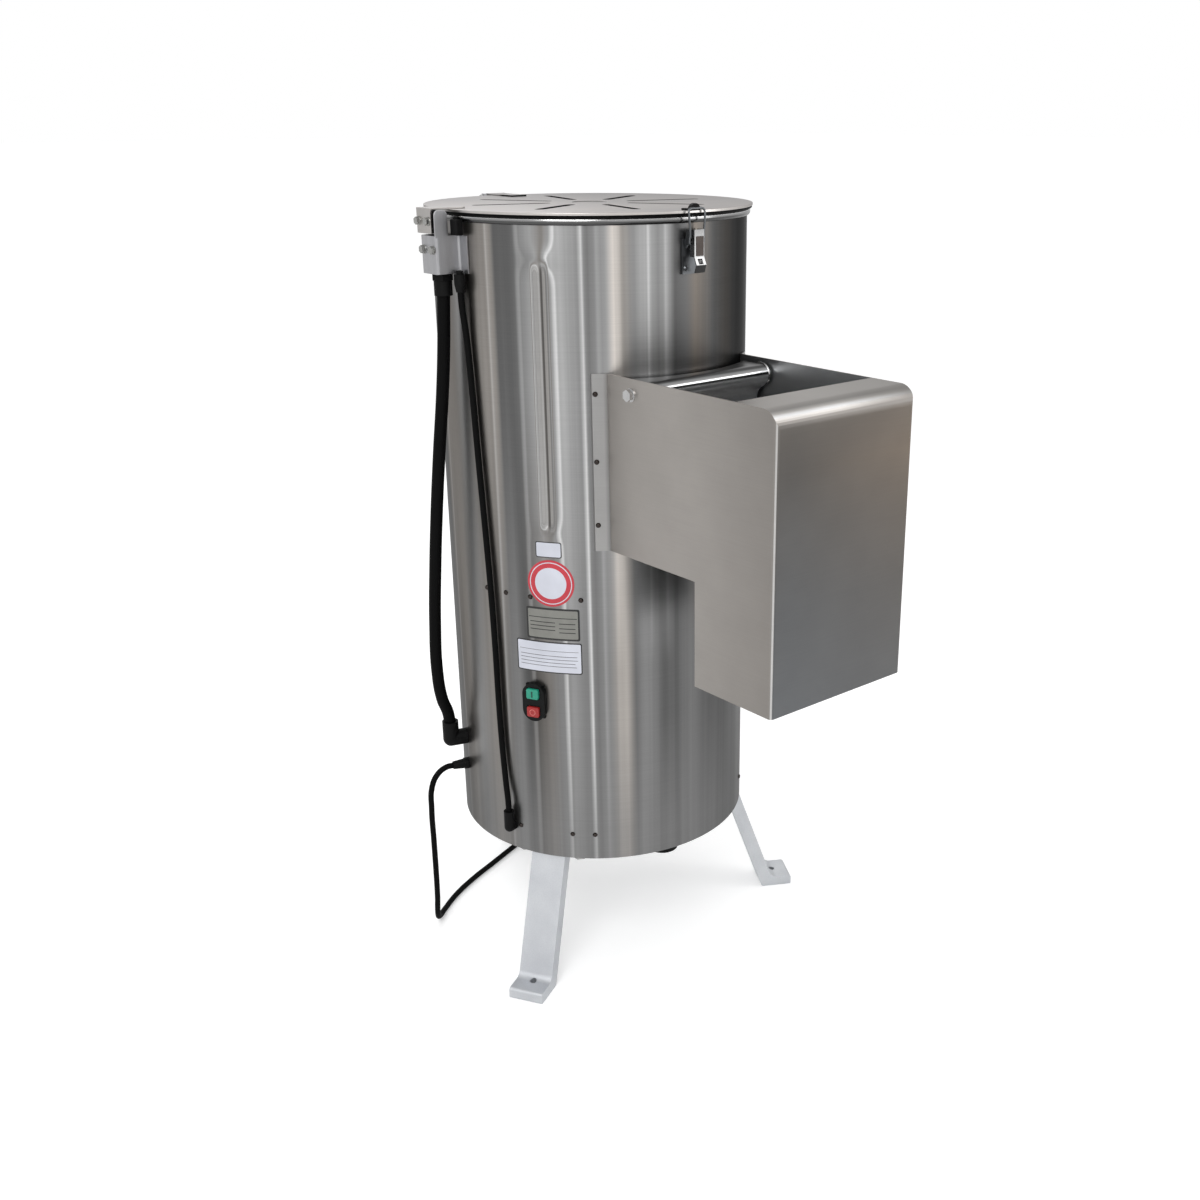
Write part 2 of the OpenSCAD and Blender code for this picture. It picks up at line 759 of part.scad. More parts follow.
// A rubber frame between the door's rim and the drum's wall
module door_seal() {
    seal_r = drum_r + door_seat_gap - run_gap;
    top_z = rod_z - door_ear_r + 3;
    color([0.06, 0.06, 0.06]) difference() {
        intersection() {
            translate([0, 0, door_bottom_z]) tube(seal_r, drum_r + seal_gap, top_z - door_bottom_z);
            translate([-door_hw, -drum_r - 20, door_bottom_z]) cube([2 * door_hw, drum_r, top_z - door_bottom_z]);
        }
        translate([-door_hw + door_seal_w, -drum_r - 20, door_bottom_z + door_seal_w])
            cube([2 * (door_hw - door_seal_w), drum_r, top_z - door_bottom_z - 2 * door_seal_w]);
        bar_x(2 * (door_ear_r + fit_gap), -door_hw - 1, door_hw + 1, -rod_y, rod_z);
    }
}

module door_handle() {
    bar_y = door_front + door_handle_reach - handle_bar_d / 2;
    color([0.72, 0.72, 0.72]) {
        for (s = [-1, 1]) {
            translate([s * handle_hw, -door_front, handle_z]) rotate([90, 0, 0])
                cylinder(d = handle_bar_d, h = bar_y - door_front);
            translate([s * handle_hw, -bar_y, handle_z]) sphere(d = handle_bar_d);
        }
        bar_x(handle_bar_d, -handle_hw, handle_hw, -bar_y, handle_z);
    }
}

// ---------------------------------------------------------------- lid and hinge

module lid_slot() {
    translate([slot_r0, -slot_w / 2, lid_z - 1]) cube([slot_r1 - slot_r0, slot_w, lid_t + 2]);
    for (r = [slot_r0, slot_r1]) translate([r, 0, lid_z - 1]) cylinder(d = slot_w, h = lid_t + 2);
}

module lid_plate() {
    color([0.70, 0.70, 0.71]) difference() {
        translate([0, 0, lid_z]) cylinder(r = lid_r, h = lid_t);
        for (i = [0:slot_count - 1]) rotate([0, 0, slot_angle + 360 * i / slot_count]) lid_slot();
        translate([0, 0, overall_h - dish_depth]) cylinder(d = dish_d, h = dish_depth + 1);
    }
}

module lid_gasket() {
    color([0.05, 0.05, 0.05]) translate([0, 0, gasket_z]) tube(lid_r - 1.5, lid_r - 1.5 - gasket_w, gasket_t);
}

module lid_hinge_leaf() {
    hw = hinge_knuckle_w / 2;
    color([0.68, 0.68, 0.68]) difference() {
        union() {
            translate([-hw, lid_r - 50, overall_h]) cube([2 * hw, hinge_y - lid_r + 50, hinge_plate_t]);
            bar_x(2 * hinge_barrel_r, -hw, hw, hinge_y, hinge_z);
        }
        bar_x(hinge_pin_d + 2 * run_gap, -hw - 1, hw + 1, hinge_y, hinge_z);
    }
}

module lid_hinge_bracket() {
    ear_x = hinge_knuckle_w / 2 + hinge_side_gap;
    plate_r = drum_r + seal_gap;
    ear = [
        [drum_r, hinge_plate_z0 + 10], [drum_r, hinge_plate_z1], [hinge_y - 5, hinge_z - 2],
        [hinge_y + 4, hinge_z - 4]
    ];
    color([0.66, 0.66, 0.66]) difference() {
        union() {
            intersection() {
                translate([0, 0, hinge_plate_z0]) tube(plate_r + hinge_plate_t, plate_r, hinge_plate_z1 - hinge_plate_z0);
                translate([-hinge_plate_w / 2, 100, 0]) cube([hinge_plate_w, 200, overall_h]);
            }
            for (s = [-1, 1]) {
                x0 = s > 0 ? ear_x : -ear_x - hinge_ear_t;
                yz_plate(ear, x0, x0 + hinge_ear_t);
                bar_x(2 * hinge_barrel_r, x0, x0 + hinge_ear_t, hinge_y, hinge_z);
            }
        }
        translate([0, 0, hinge_plate_z0 - 1]) cylinder(r = plate_r, h = hinge_plate_z1 - hinge_plate_z0 + 2);
        bar_x(hinge_pin_d + 2 * run_gap, -40, 40, hinge_y, hinge_z);
    }
}

module lid_hinge_pin() {
    reach = hinge_knuckle_w / 2 + hinge_side_gap + hinge_ear_t;
    color([0.75, 0.75, 0.75]) {
        bar_x(hinge_pin_d, -reach, reach + 1, hinge_y, hinge_z);
        bar_x(hinge_pin_d + 4, reach + 0.2, reach + 2.5, hinge_y, hinge_z);
        bar_x(hinge_pin_d + 4, -reach - 2.5, -reach - 0.2, hinge_y, hinge_z);
        bar_x(hinge_pin_d, -reach - 1, -reach + 1, hinge_y, hinge_z);
    }
}

// ---------------------------------------------------------------- latch

module latch_base() {
    ear_x = lever_w / 2 + latch_gap;
    ear = [
        [-drum_r - 1, latch_plate_z1 - 12], [-lever_pivot_y - 3, lever_pivot_z - 5],
        [-lever_pivot_y - 3, lever_pivot_z + 4], [-drum_r - 3.5, lever_pivot_z + 4],
        [-drum_r - 1, latch_plate_z1]
    ];
    y_face = drum_r + seal_gap;
    color([0.72, 0.72, 0.72]) difference() {
        union() {
            translate([latch_x - latch_plate_w / 2, -y_face - latch_plate_t, latch_plate_z0])
                cube([latch_plate_w, latch_plate_t + 1.2, latch_plate_z1 - latch_plate_z0]);
            for (s = [-1, 1]) {
                x0 = latch_x + (s > 0 ? ear_x : -ear_x - latch_ear_t);
                yz_plate(ear, x0, x0 + latch_ear_t);
            }
            for (s = [-1, 1]) translate([latch_x + s * (latch_plate_w / 2 - 5), -y_face - latch_plate_t, latch_plate_z0 + 7])
                rotate([90, 0, 0]) cylinder(d1 = 6, d2 = 3.5, h = 1.6);
            bar_x(2 * lever_pin_r, latch_x - ear_x - 0.5, latch_x + ear_x + 0.5, -lever_pivot_y, lever_pivot_z);
        }
        translate([0, 0, latch_plate_z0 - 1]) cylinder(r = y_face, h = 60, $fn = 4 * $fn);
    }
}

module latch_lever() {
    hw = lever_w / 2;
    cheek = [
        [-lever_pivot_y + 4, lever_pivot_z + 4], [-lever_front, lever_pivot_z + 4], [-lever_front, lever_low_z],
        [-bail_pivot_y + 3.5, lever_low_z], [-bail_pivot_y + 3.5, lever_pivot_z - 5],
        [-lever_pivot_y + 4, lever_pivot_z - 3]
    ];
    web = [
        [-lever_front, lever_pivot_z + 4], [-lever_front + lever_web_t, lever_pivot_z + 4],
        [-lever_front + lever_web_t, lever_low_z], [-lever_tip_y + lever_web_t, lever_low_z - 9],
        [-lever_tip_y + lever_web_t + 3, lever_tip_z], [-lever_tip_y + 3, lever_tip_z],
        [-lever_tip_y, lever_low_z - 9], [-lever_front, lever_low_z]
    ];
    color([0.74, 0.74, 0.74]) difference() {
        union() {
            for (s = [-1, 1]) {
                x0 = latch_x + (s > 0 ? hw - lever_web_t : -hw);
                yz_plate(cheek, x0, x0 + lever_web_t);
            }
            yz_plate(web, latch_x - hw, latch_x + hw);
        }
        bar_x(2 * (lever_pin_r + run_gap), latch_x - hw - 1, latch_x + hw + 1, -lever_pivot_y, lever_pivot_z);
        bar_x(bail_d + 2 * run_gap, latch_x - hw - 1, latch_x + hw + 1, -bail_pivot_y, bail_pivot_z);
        translate([latch_x - hw + 4, -lever_tip_y - 5, lever_low_z - 8]) cube([lever_w - 8, 12, 6]);
    }
}

module latch_bail() {
    color([0.7, 0.7, 0.7]) {
        for (s = [-1, 1]) {
            x = latch_x + s * bail_w / 2;
            translate([x, -bail_pivot_y, bail_pivot_z]) cylinder(d = bail_d, h = bail_top_z - bail_pivot_z);
            translate([x, -bail_pivot_y, bail_pivot_z]) sphere(d = bail_d);
            translate([x, -bail_pivot_y, bail_top_z]) sphere(d = bail_d);
            bar_x(bail_d, s > 0 ? latch_x + lever_w / 2 - 3 : x, s > 0 ? x : latch_x - lever_w / 2 + 3,
                -bail_pivot_y, bail_pivot_z);
        }
        bar_x(bail_d, latch_x - bail_w / 2, latch_x + bail_w / 2, -bail_pivot_y, bail_top_z);
    }
}

module latch_catch() {
    front = bail_pivot_y - bail_d / 2 - catch_gap;
    color([0.14, 0.14, 0.14]) {
        translate([latch_x - catch_w / 2, -front, overall_h]) cube([catch_w, 16, 2]);
        intersection() {
            translate([latch_x, -front, overall_h]) rotate([-90, 0, 0]) cylinder(r = catch_w / 2, h = 5);
            translate([latch_x - catch_w / 2, -front, overall_h]) cube([catch_w, 5, catch_h]);
        }
    }
}

// ---------------------------------------------------------------- lid interlock

module interlock_bracket() {
    wall_r = drum_r + seal_gap;
    color([0.58, 0.58, 0.58]) difference() {
        union() {
            translate([box_x0, box_y0, box_z0]) cube([-box_x0 - 190, box_t, box_z1 - box_z0]);
            translate([box_x0, box_y0, box_z0]) cube([box_t, box_y1 - box_y0, box_z1 - box_z0]);
            translate([box_x0, box_y1 - box_t, box_z0]) cube([-box_x0 - 190, box_t, box_z1 - box_z0]);
            translate([box_x0, box_y0, box_z0]) cube([-box_x0 - 190, box_y1 - box_y0, box_t]);
            translate([tongue_x1, box_flange_y0, box_z0]) cube([-tongue_x1 - 190, box_y0 - box_flange_y0 + 1, box_t]);
            intersection() {
                translate([0, 0, box_z0]) tube(wall_r + box_t, wall_r, box_z1 - box_z0);
                translate([-drum_r - 5, box_flange_y0, 0]) cube([50, box_y0 - box_flange_y0 + 1, overall_h]);
            }
            tongue();
        }
        translate([0, 0, box_z0 - 1]) cylinder(r = wall_r, h = overall_h);
        translate([gland_x, gland_y, box_z0 - 1]) cylinder(d = conduit_d + 1, h = box_t + 2);
        translate([thin_gland_x, thin_gland_y, box_z0 - 1]) cylinder(d = cable_d + 0.6, h = box_t + 2);
        for (y = sensor_screw_y) bar_x(screw_shank_d + 2 * fit_gap, box_x0 - 2, box_x0 + 5, y, sensor_screw_z);
    }
}

// The plate that stands up beside the actuator, with rounded top corners
module tongue() {
    w = tongue_x1 - box_x0;
    r = tongue_corner_r;
    translate([box_x0, box_y0 + box_t, box_z1 - 1]) rotate([90, 0, 0]) linear_extrude(box_t) union() {
        square([w, tongue_top_z - box_z1 + 1 - r]);
        for (x = [r, w - r]) translate([x, tongue_top_z - box_z1 + 1 - r]) circle(r = r);
        translate([r, 0]) square([w - 2 * r, tongue_top_z - box_z1 + 1]);
    }
}

module interlock_sensor() {
    x0 = box_x0 + box_t + fit_gap;
    color([0.06, 0.06, 0.06]) difference() {
        translate([x0, box_y0 + box_t + 1, sensor_screw_z - 14]) cube([14, 28, 27]);
        for (y = sensor_screw_y) bar_x(screw_shank_d + 2 * fit_gap, x0 - 1, x0 + 9, y, sensor_screw_z);
    }
}

module side_screws(places, x, z) {
    for (y = places) {
        translate([x, y, z]) rotate([0, -90, 0]) hex(8, 4.5);
        bar_x(10.5, x - 1, x, y, z);
        bar_x(screw_shank_d, x - 0.5, x + 8, y, z);
    }
}

module interlock_screws() {
    color([0.8, 0.8, 0.8]) side_screws(sensor_screw_y, box_x0, sensor_screw_z);
}

module lid_switch() {
    color([0.05, 0.05, 0.05]) difference() {
        translate([-213, box_flange_y0 + 1, box_z1 + 0.3]) cube([9, 14.5, 18]);
        translate([0, 0, box_z1]) cylinder(r = rim_outer_r + 0.6, h = 30);
    }
}

module actuator_bracket() {
    strap_y0 = actuator_y0 + 2;
    color([0.72, 0.72, 0.72]) difference() {
        union() {
            translate([box_x0, actuator_y0, actuator_z0])
                cube([box_t, actuator_y1 - actuator_y0, overall_h + box_t - actuator_z0]);
            translate([box_x0, strap_y0, overall_h])
                cube([-box_x0 - 185, actuator_y1 - strap_y0, box_t]);
        }
        for (y = actuator_screw_y) bar_x(screw_shank_d + 2 * fit_gap, box_x0 - 2, box_x0 + 5, y, actuator_screw_z);
    }
}

module actuator_magnet() {
    x0 = box_x0 + box_t + fit_gap;
    color([0.05, 0.05, 0.05]) difference() {
        translate([x0, actuator_y0 + 1, actuator_z0 + 1]) cube([12, 28, 24]);
        for (y = actuator_screw_y) bar_x(screw_shank_d + 2 * fit_gap, x0 - 1, x0 + 9, y, actuator_screw_z);
    }
}

module actuator_screws() {
    color([0.8, 0.8, 0.8]) side_screws(actuator_screw_y, box_x0, actuator_screw_z);
}

// ---------------------------------------------------------------- cables and glands

function elbow_neck_d() = elbow_d - 4;
function thin_neck_d() = thin_entry_d - 3;
function cord_neck_d() = cord_gland_d - 3;

module elbow(angle, reach_r, z, top_z, d, neck_d, bore_d, bore_h) {
    rotate([0, 0, angle]) difference() {
        union() {
            translate([drum_r + 0.3, 0, z]) rotate([0, 90, 0]) cylinder(d = d, h = reach_r - drum_r - 0.3);
            translate([drum_r - 9, 0, z]) rotate([0, 90, 0]) cylinder(d = neck_d, h = reach_r - drum_r + 9);
            translate([reach_r, 0, z]) sphere(d = d);
            translate([reach_r, 0, z]) cylinder(d = d, h = top_z - z);
            translate([drum_inner_r - 7, 0, z]) rotate([0, 90, 0]) cylinder(d = d, h = 6.6);
        }
        translate([reach_r, 0, top_z - bore_h]) cylinder(d = bore_d, h = bore_h + 1);
    }
}

module cable_glands() {
    color([0.05, 0.05, 0.05]) {
        difference() {
            union() {
                translate([gland_x, gland_y, gland_z1 - 8]) hex(gland_d, 7.8);
                translate([gland_x, gland_y, gland_z0]) cylinder(d = gland_d - 2, h = gland_z1 - gland_z0 - 6);
                translate([gland_x, gland_y, gland_z1 - 1]) cylinder(d = conduit_d, h = box_t + 6);
            }
            translate([gland_x, gland_y, gland_z0 - 1]) cylinder(d = conduit_d + 2 * fit_gap, h = 14);
        }
        difference() {
            union() {
                translate([thin_gland_x, thin_gland_y, thin_gland_z0 + 9])
                    cylinder(d = thin_gland_d, h = gland_z1 - thin_gland_z0 - 9.2);
                translate([thin_gland_x, thin_gland_y, thin_gland_z0])
                    cylinder(d1 = cable_d + 2.4, d2 = thin_gland_d, h = 9.1);
                translate([thin_gland_x, thin_gland_y, gland_z1 - 1]) cylinder(d = cable_d, h = box_t + 3);
            }
            translate([thin_gland_x, thin_gland_y, thin_gland_z0 - 1]) cylinder(d = cable_d + 2 * fit_gap, h = 8);
            translate([0, 0, thin_gland_z0 - 5]) cylinder(r = drum_r + seal_gap, h = 40);
        }
        elbow(elbow_angle, elbow_r, elbow_z, elbow_top_z, elbow_d, elbow_neck_d(), conduit_d + 2 * fit_gap, 10);
        elbow(thin_entry_angle, thin_entry_r, thin_entry_z, thin_entry_top_z, thin_entry_d, thin_neck_d(),
            cable_d + 2 * fit_gap, 8);
    }
}

module sensor_conduit() {
    color([0.04, 0.04, 0.045]) swept_tube(conduit_route, conduit_d, 2, [1, 0, 0]);
}

module sensor_cable() {
    color([0.04, 0.04, 0.045]) swept_tube(thin_route, cable_d, 2, [1, 0, 0]);
}

module power_cord_gland() {
    color([0.05, 0.05, 0.05]) rotate([0, 0, cord_exit_angle]) translate([0, 0, cord_exit_z]) rotate([0, 90, 0])
        difference() {
            union() {
                translate([0, 0, drum_r + 0.3]) cylinder(d = cord_gland_d, h = 6);
                translate([0, 0, drum_r + 6]) cylinder(d1 = cord_gland_d - 2, d2 = cord_d + 3, h = cord_gland_r - drum_r - 6);
                translate([0, 0, drum_inner_r - 8]) cylinder(d = cord_neck_d(), h = 15);
                translate([0, 0, drum_inner_r - 7]) cylinder(d = cord_gland_d, h = 6.6);
            }
            translate([0, 0, cord_gland_r - 4]) cylinder(d = cord_d + 2 * fit_gap, h = 6);
        }
}

module power_cord() {
    color([0.05, 0.05, 0.05]) swept_tube(cord_route, cord_d, 2, [0, 0, 1]);
}

module power_cord_coil() {
    color([0.05, 0.05, 0.05]) translate([coil_x, coil_y, coil_lift])
        tube(coil_mid_r + coil_w / 2, coil_mid_r - coil_w / 2, coil_h);
}

module power_plug() {
    color([0.07, 0.07, 0.07]) translate([plug_x, plug_y, plug_d / 2 + 0.5]) rotate([0, 90, plug_angle]) {
        cylinder(d1 = plug_d - 8, d2 = plug_d, h = plug_l);
        translate([0, 0, -plug_tail]) cylinder(d1 = cord_d + 3, d2 = cord_d + 8, h = plug_tail + 0.5);
        for (y = [-6.35, 6.35]) translate([-3.15 - 3, y - 0.75, plug_l - 1]) cube([6.3, 1.5, 18]);
        translate([7, 0, plug_l - 1]) cylinder(d = 4.8, h = 20);
    }
}

// ---------------------------------------------------------------- switch and controls

module stadium(w, h) {
    r = w / 2;
    square([h - w, w], center = true);
    for (s = [-1, 1]) translate([s * (h - w) / 2, 0]) circle(r = r);
}

module switch_housing() {
    color([0.05, 0.05, 0.05]) difference() {
        union() {
            on_drum(switch_angle, switch_z) translate([0, 0, -3]) linear_extrude(switch_depth + 3)
                stadium(switch_w, switch_h);
            on_drum(switch_angle, switch_z) translate([0, 0, -switch_body_depth / 2]) cube(
                [switch_body_h, switch_body_w, switch_body_depth + 4], center = true);
        }
        difference() {
            translate([0, 0, switch_z - switch_h]) cylinder(r = drum_r + seal_gap, h = 2 * switch_h);
            on_drum(switch_angle, switch_z) cube([switch_body_h, switch_body_w, 200], center = true);
        }
        for (s = [-1, 1]) on_drum(switch_angle, switch_z) translate([s * button_pitch / 2, 0, 0])
            translate([-button_h / 2 - button_gap, -button_w / 2 - button_gap, switch_depth - button_pocket])
                cube([button_h + 2 * button_gap, button_w + 2 * button_gap, button_pocket + 10]);
    }
}

// A push button with softened corners; side -1 is the upper one
module push_button(side) {
    r = 2.5;
    foot = switch_depth - button_pocket + button_travel + 0.5;
    on_drum(switch_angle, switch_z) translate([side * button_pitch / 2, 0, foot])
        linear_extrude(switch_depth + button_stand - foot) union() {
            square([button_h - 2 * r, button_w], center = true);
            square([button_h, button_w - 2 * r], center = true);
            for (u = [-1, 1], v = [-1, 1]) translate([u * (button_h / 2 - r), v * (button_w / 2 - r)]) circle(r = r);
        }
}

module start_button() { color([0.10, 0.50, 0.36]) push_button(-1); }
module stop_button() { color([0.62, 0.08, 0.10]) push_button(1); }

module contactor() {
    color([0.85, 0.85, 0.82]) translate([contactor_x, contactor_y, base_z + base_t]) {
        translate([-contactor_size[0] / 2, -contactor_size[1] / 2, 0]) cube(contactor_size);
        for (x = [-15, 0, 15]) translate([x - 5, -contactor_size[1] / 2 + 4, contactor_size[2] - 1]) cube([10, 52, 7]);
    }
}

// ---------------------------------------------------------------- disc and drive

module abrasive_disc() {
    color([0.6, 0.6, 0.6]) difference() {
        union() {
            translate([0, 0, disc_z]) cylinder(d = disc_d, h = disc_t);
            translate([0, 0, disc_z - disc_hub_h]) cylinder(d = disc_hub_d, h = disc_hub_h + 1);
        }
        translate([0, 0, disc_z - disc_hub_h - 1]) cylinder(d = shaft_d + 2 * run_gap, h = 80);
    }
}

module abrasive_coating() {
    top_z = disc_z + disc_t + coating_t;
    hump_r = (pow(hump_reach / 4, 2) + pow(hump_h, 2)) / (2 * hump_h);
    color([0.30, 0.28, 0.26]) difference() {
        union() {
            translate([0, 0, top_z - coating_t]) cylinder(d = disc_d - 4, h = coating_t);
            for (a = hump_angles) rotate([0, 0, a]) intersection() {
                translate([hump_start, 0, top_z + hump_h - hump_r]) rotate([0, 90, 0])
                    cylinder(r = hump_r, h = hump_reach - 6);
                translate([hump_start, -60, top_z - 0.5]) cube([hump_reach - 6, 120, hump_h + 2]);
            }
        }
        translate([0, 0, top_z - coating_t - 1]) cylinder(d = disc_nut_af + 12, h = 40);
    }
}

module main_shaft() {
    color([0.7, 0.7, 0.7]) translate([0, 0, shaft_z0]) cylinder(d = shaft_d, h = shaft_z1 - shaft_z0);
}

module disc_nut() {
    z = disc_z + disc_t;
    color([0.72, 0.72, 0.72]) difference() {
        union() {
            translate([0, 0, z]) cylinder(d = disc_nut_af + 10, h = 3);
            translate([0, 0, z + 2]) hex(disc_nut_af, disc_nut_h);
            translate([0, 0, shaft_z1 + 0.3]) cylinder(d = 30, h = 4);
            translate([0, 0, z + disc_nut_h]) cylinder(d = 30, h = shaft_z1 + 1 - z - disc_nut_h);
        }
        translate([0, 0, z - 1]) cylinder(d = shaft_d + 2 * run_gap, h = shaft_z1 + 0.3 - z + 1);
    }
}

module lip_seal() {
    color([0.08, 0.08, 0.08]) difference() {
        union() {
            translate([0, 0, floor_z + 0.2]) cylinder(d = seal_od, h = seal_h);
            translate([0, 0, floor_z + floor_t + 0.1]) cylinder(d = seal_od + 8, h = 3);
        }
        translate([0, 0, floor_z - 1]) cylinder(d = shaft_d + 2 * run_gap, h = seal_h + 4);
    }
}

module bearing_housing() {
    color([0.45, 0.47, 0.48]) difference() {
        union() {
            translate([0, 0, housing_z0]) cylinder(d = housing_d, h = floor_z - housing_z0);
            translate([0, 0, floor_z - housing_flange_t]) cylinder(d = housing_flange_d, h = housing_flange_t);
            translate([0, 0, housing_z0]) cylinder(d = housing_foot_d, h = housing_flange_t);
            for (i = [0:3]) rotate([0, 0, 45 + 90 * i]) translate([0, -3, housing_z0])
                cube([housing_foot_d / 2 - 4, 6, floor_z - housing_z0]);
        }
        translate([0, 0, housing_z0 - 1]) cylinder(d = shaft_d + 8, h = floor_z - housing_z0 + 2);
        for (z = bearing_z) translate([0, 0, z]) cylinder(d = bearing_od + 2 * run_gap, h = bearing_w + 0.4);
        translate([0, 0, housing_z0 - 1]) cylinder(d = bearing_od + 2 * run_gap, h = bearing_z[0] - housing_z0 + 2);
        translate([0, 0, bearing_z[1]]) cylinder(d = bearing_od + 2 * run_gap, h = floor_z);
    }
}

module shaft_bearings() {
    color([0.8, 0.8, 0.8]) for (z = bearing_z) translate([0, 0, z + 0.2]) difference() {
        cylinder(d = bearing_od, h = bearing_w);
        translate([0, 0, -1]) cylinder(r = bearing_bore_r, h = bearing_w + 2);
    }
}

// A V-grooved wheel round Z, centred on z = 0
module grooved_wheel(r) {
    hw = pulley_w / 2;
    rotate_extrude() polygon([
        [0, -hw], [r, -hw], [r, -hw + 2], [r - groove_depth, -belt_w / 2 - 0.6], [r - groove_depth, belt_w / 2 + 0.6],
        [r, hw - 2], [r, hw], [0, hw]
    ]);
}

module large_pulley() {
    web_r0 = 30;
    color([0.35, 0.36, 0.37]) translate([0, 0, pulley_z]) difference() {
        grooved_wheel(large_r);
        cylinder(d = shaft_d + 2 * run_gap, h = 2 * pulley_w, center = true);
        for (i = [0:3]) rotate([0, 0, 90 * i]) translate([(large_r - groove_depth + web_r0) / 2, 0, 0])
            cylinder(d = large_r - groove_depth - web_r0 - 14, h = 2 * pulley_w, center = true);
    }
}

module small_pulley() {
    color([0.35, 0.36, 0.37]) translate([0, motor_y, pulley_z]) difference() {
        grooved_wheel(small_r);
        cylinder(d = motor_shaft_d + 2 * run_gap, h = 2 * pulley_w, center = true);
    }
}

// Outline of a belt that runs round the two wheels at radii ra and rb
function belt_outline(ra, rb) = let (b = asin((ra - rb) / pulley_distance)) concat(
    arc(0, 0, ra, 180 - b, 360 + b, 48),
    arc(0, pulley_distance, rb, b, 180 - b, 20)
);

module drive_belt() {
    ra = large_r - groove_depth + belt_gap;
    rb = small_r - groove_depth + belt_gap;
    color([0.06, 0.06, 0.06]) translate([0, 0, pulley_z - belt_w / 2]) linear_extrude(belt_w) difference() {
        polygon(belt_outline(ra + belt_t, rb + belt_t));
        polygon(belt_outline(ra, rb));
    }
}

module motor_plate() {
    color([0.5, 0.51, 0.52]) translate([0, 0, plate_z]) difference() {
        linear_extrude(plate_t) intersection() {
            union() {
                circle(r = plate_hw);
                translate([-plate_hw, 0]) square([2 * plate_hw, motor_y]);
                translate([0, motor_y]) circle(r = plate_hw - 6);
            }
            circle(r = drum_inner_r - 4);
        }
        translate([0, 0, -1]) cylinder(d = bearing_od + 4, h = plate_t + 2);
        translate([0, motor_y, -1]) cylinder(d = motor_shaft_d + 14, h = plate_t + 2);
    }
}

module motor_housing() {
    color([0.30, 0.34, 0.38]) translate([0, motor_y, housing_z0]) difference() {
        union() {
            cylinder(d = motor_d - 2 * fin_h, h = motor_h);
            cylinder(d = motor_d, h = motor_end_t);
            translate([0, 0, motor_h - motor_end_t]) cylinder(d = motor_d, h = motor_end_t);
            for (i = [0:fin_count - 1]) rotate([0, 0, 360 * i / fin_count]) translate([0, -fin_t / 2, motor_end_t])
                cube([motor_d / 2 - 0.5, fin_t, motor_h - 2 * motor_end_t]);
        }
        translate([0, 0, motor_end_t]) cylinder(d = motor_bore_d, h = motor_h - 2 * motor_end_t);
        translate([0, 0, -1]) cylinder(d = motor_shaft_d + 2 * run_gap, h = motor_h - motor_end_t / 2 + 1);
    }
}

module motor_rotor() {
    z1 = housing_z0 + motor_h - motor_end_t;
    color([0.6, 0.58, 0.55]) {
        translate([0, motor_y, motor_shaft_z0]) cylinder(d = motor_shaft_d, h = z1 - motor_shaft_z0);
        translate([0, motor_y, housing_z0 + (motor_h - rotor_h) / 2]) cylinder(d = rotor_d, h = rotor_h);
    }
}

// ---------------------------------------------------------------- water and labels

module drain_pipe() {
    color([0.07, 0.07, 0.07]) translate([drain_x, drain_y, 0]) difference() {
        union() {
            translate([0, 0, drain_bottom_z]) cylinder(d = drain_d, h = floor_z - drain_bottom_z);
            translate([0, 0, floor_z - drain_flange_t]) intersection() {
                cylinder(d = drain_flange_d, h = drain_flange_t);
                translate([-drain_x, -drain_y, -1]) cylinder(r = floor_r - floor_skirt_t - 0.5, h = drain_flange_t + 2);
            }
        }
        translate([0, 0, drain_bottom_z - 1]) cylinder(d = drain_bore, h = floor_z);
    }
}

module water_inlet() {
    tail_r = drum_r + inlet_reach;
    color([0.72, 0.68, 0.5]) rotate([0, 0, inlet_angle]) difference() {
        union() {
            translate([drum_r - 12, 0, inlet_z]) rotate([0, 90, 0]) cylinder(d = inlet_d, h = inlet_reach + 12);
            translate([drum_r + 0.4, 0, inlet_z]) rotate([0, 90, 0]) cylinder(d = inlet_nut_d, h = inlet_nut_t);
            translate([drum_inner_r - inlet_nut_gap - inlet_nut_t, 0, inlet_z]) rotate([0, 90, 0])
                cylinder(d = inlet_nut_d, h = inlet_nut_t);
            translate([tail_r, 0, inlet_z]) sphere(d = inlet_d);
            translate([tail_r, 0, inlet_z - inlet_tail_h]) cylinder(d = inlet_tail_d, h = inlet_tail_h);
            for (i = [0:3]) translate([tail_r, 0, inlet_z - inlet_tail_h + 6 * i])
                cylinder(d1 = inlet_tail_d, d2 = inlet_tail_d + 3, h = 5);
        }
        translate([drum_r - 13, 0, inlet_z]) rotate([0, 90, 0]) cylinder(d = inlet_tail_d - 4, h = inlet_reach + 13);
        translate([tail_r, 0, inlet_z - inlet_tail_h - 1]) cylinder(d = inlet_tail_d - 4, h = inlet_tail_h + 1);
    }
}

// A thin plate that follows the drum's wall, cut to a rectangle between two directions and heights
module curved_label(a0, a1, z0, z1) {
    intersection() {
        translate([0, 0, z0]) tube(drum_r + label_gap + label_t, drum_r + label_gap, z1 - z0);
        rotate([0, 0, (a0 + a1) / 2]) translate([0, -drum_r * sin((a1 - a0) / 2), 0])
            cube([2 * drum_r, 2 * drum_r * sin((a1 - a0) / 2), overall_h]);
    }
}

module label_plates() {
    color([0.85, 0.85, 0.85]) {
        for (p = label_rects) curved_label(p[0], p[1], p[2], p[3]);
        intersection() {
            translate([0, 0, round_label_z - round_label_d])
                tube(drum_r + label_gap + label_t, drum_r + label_gap, 2 * round_label_d);
            on_drum(round_label_angle, round_label_z) translate([0, 0, -round_label_d / 2])
                cylinder(d = round_label_d, h = round_label_d);
        }
    }
}

// ---------------------------------------------------------------- nodes

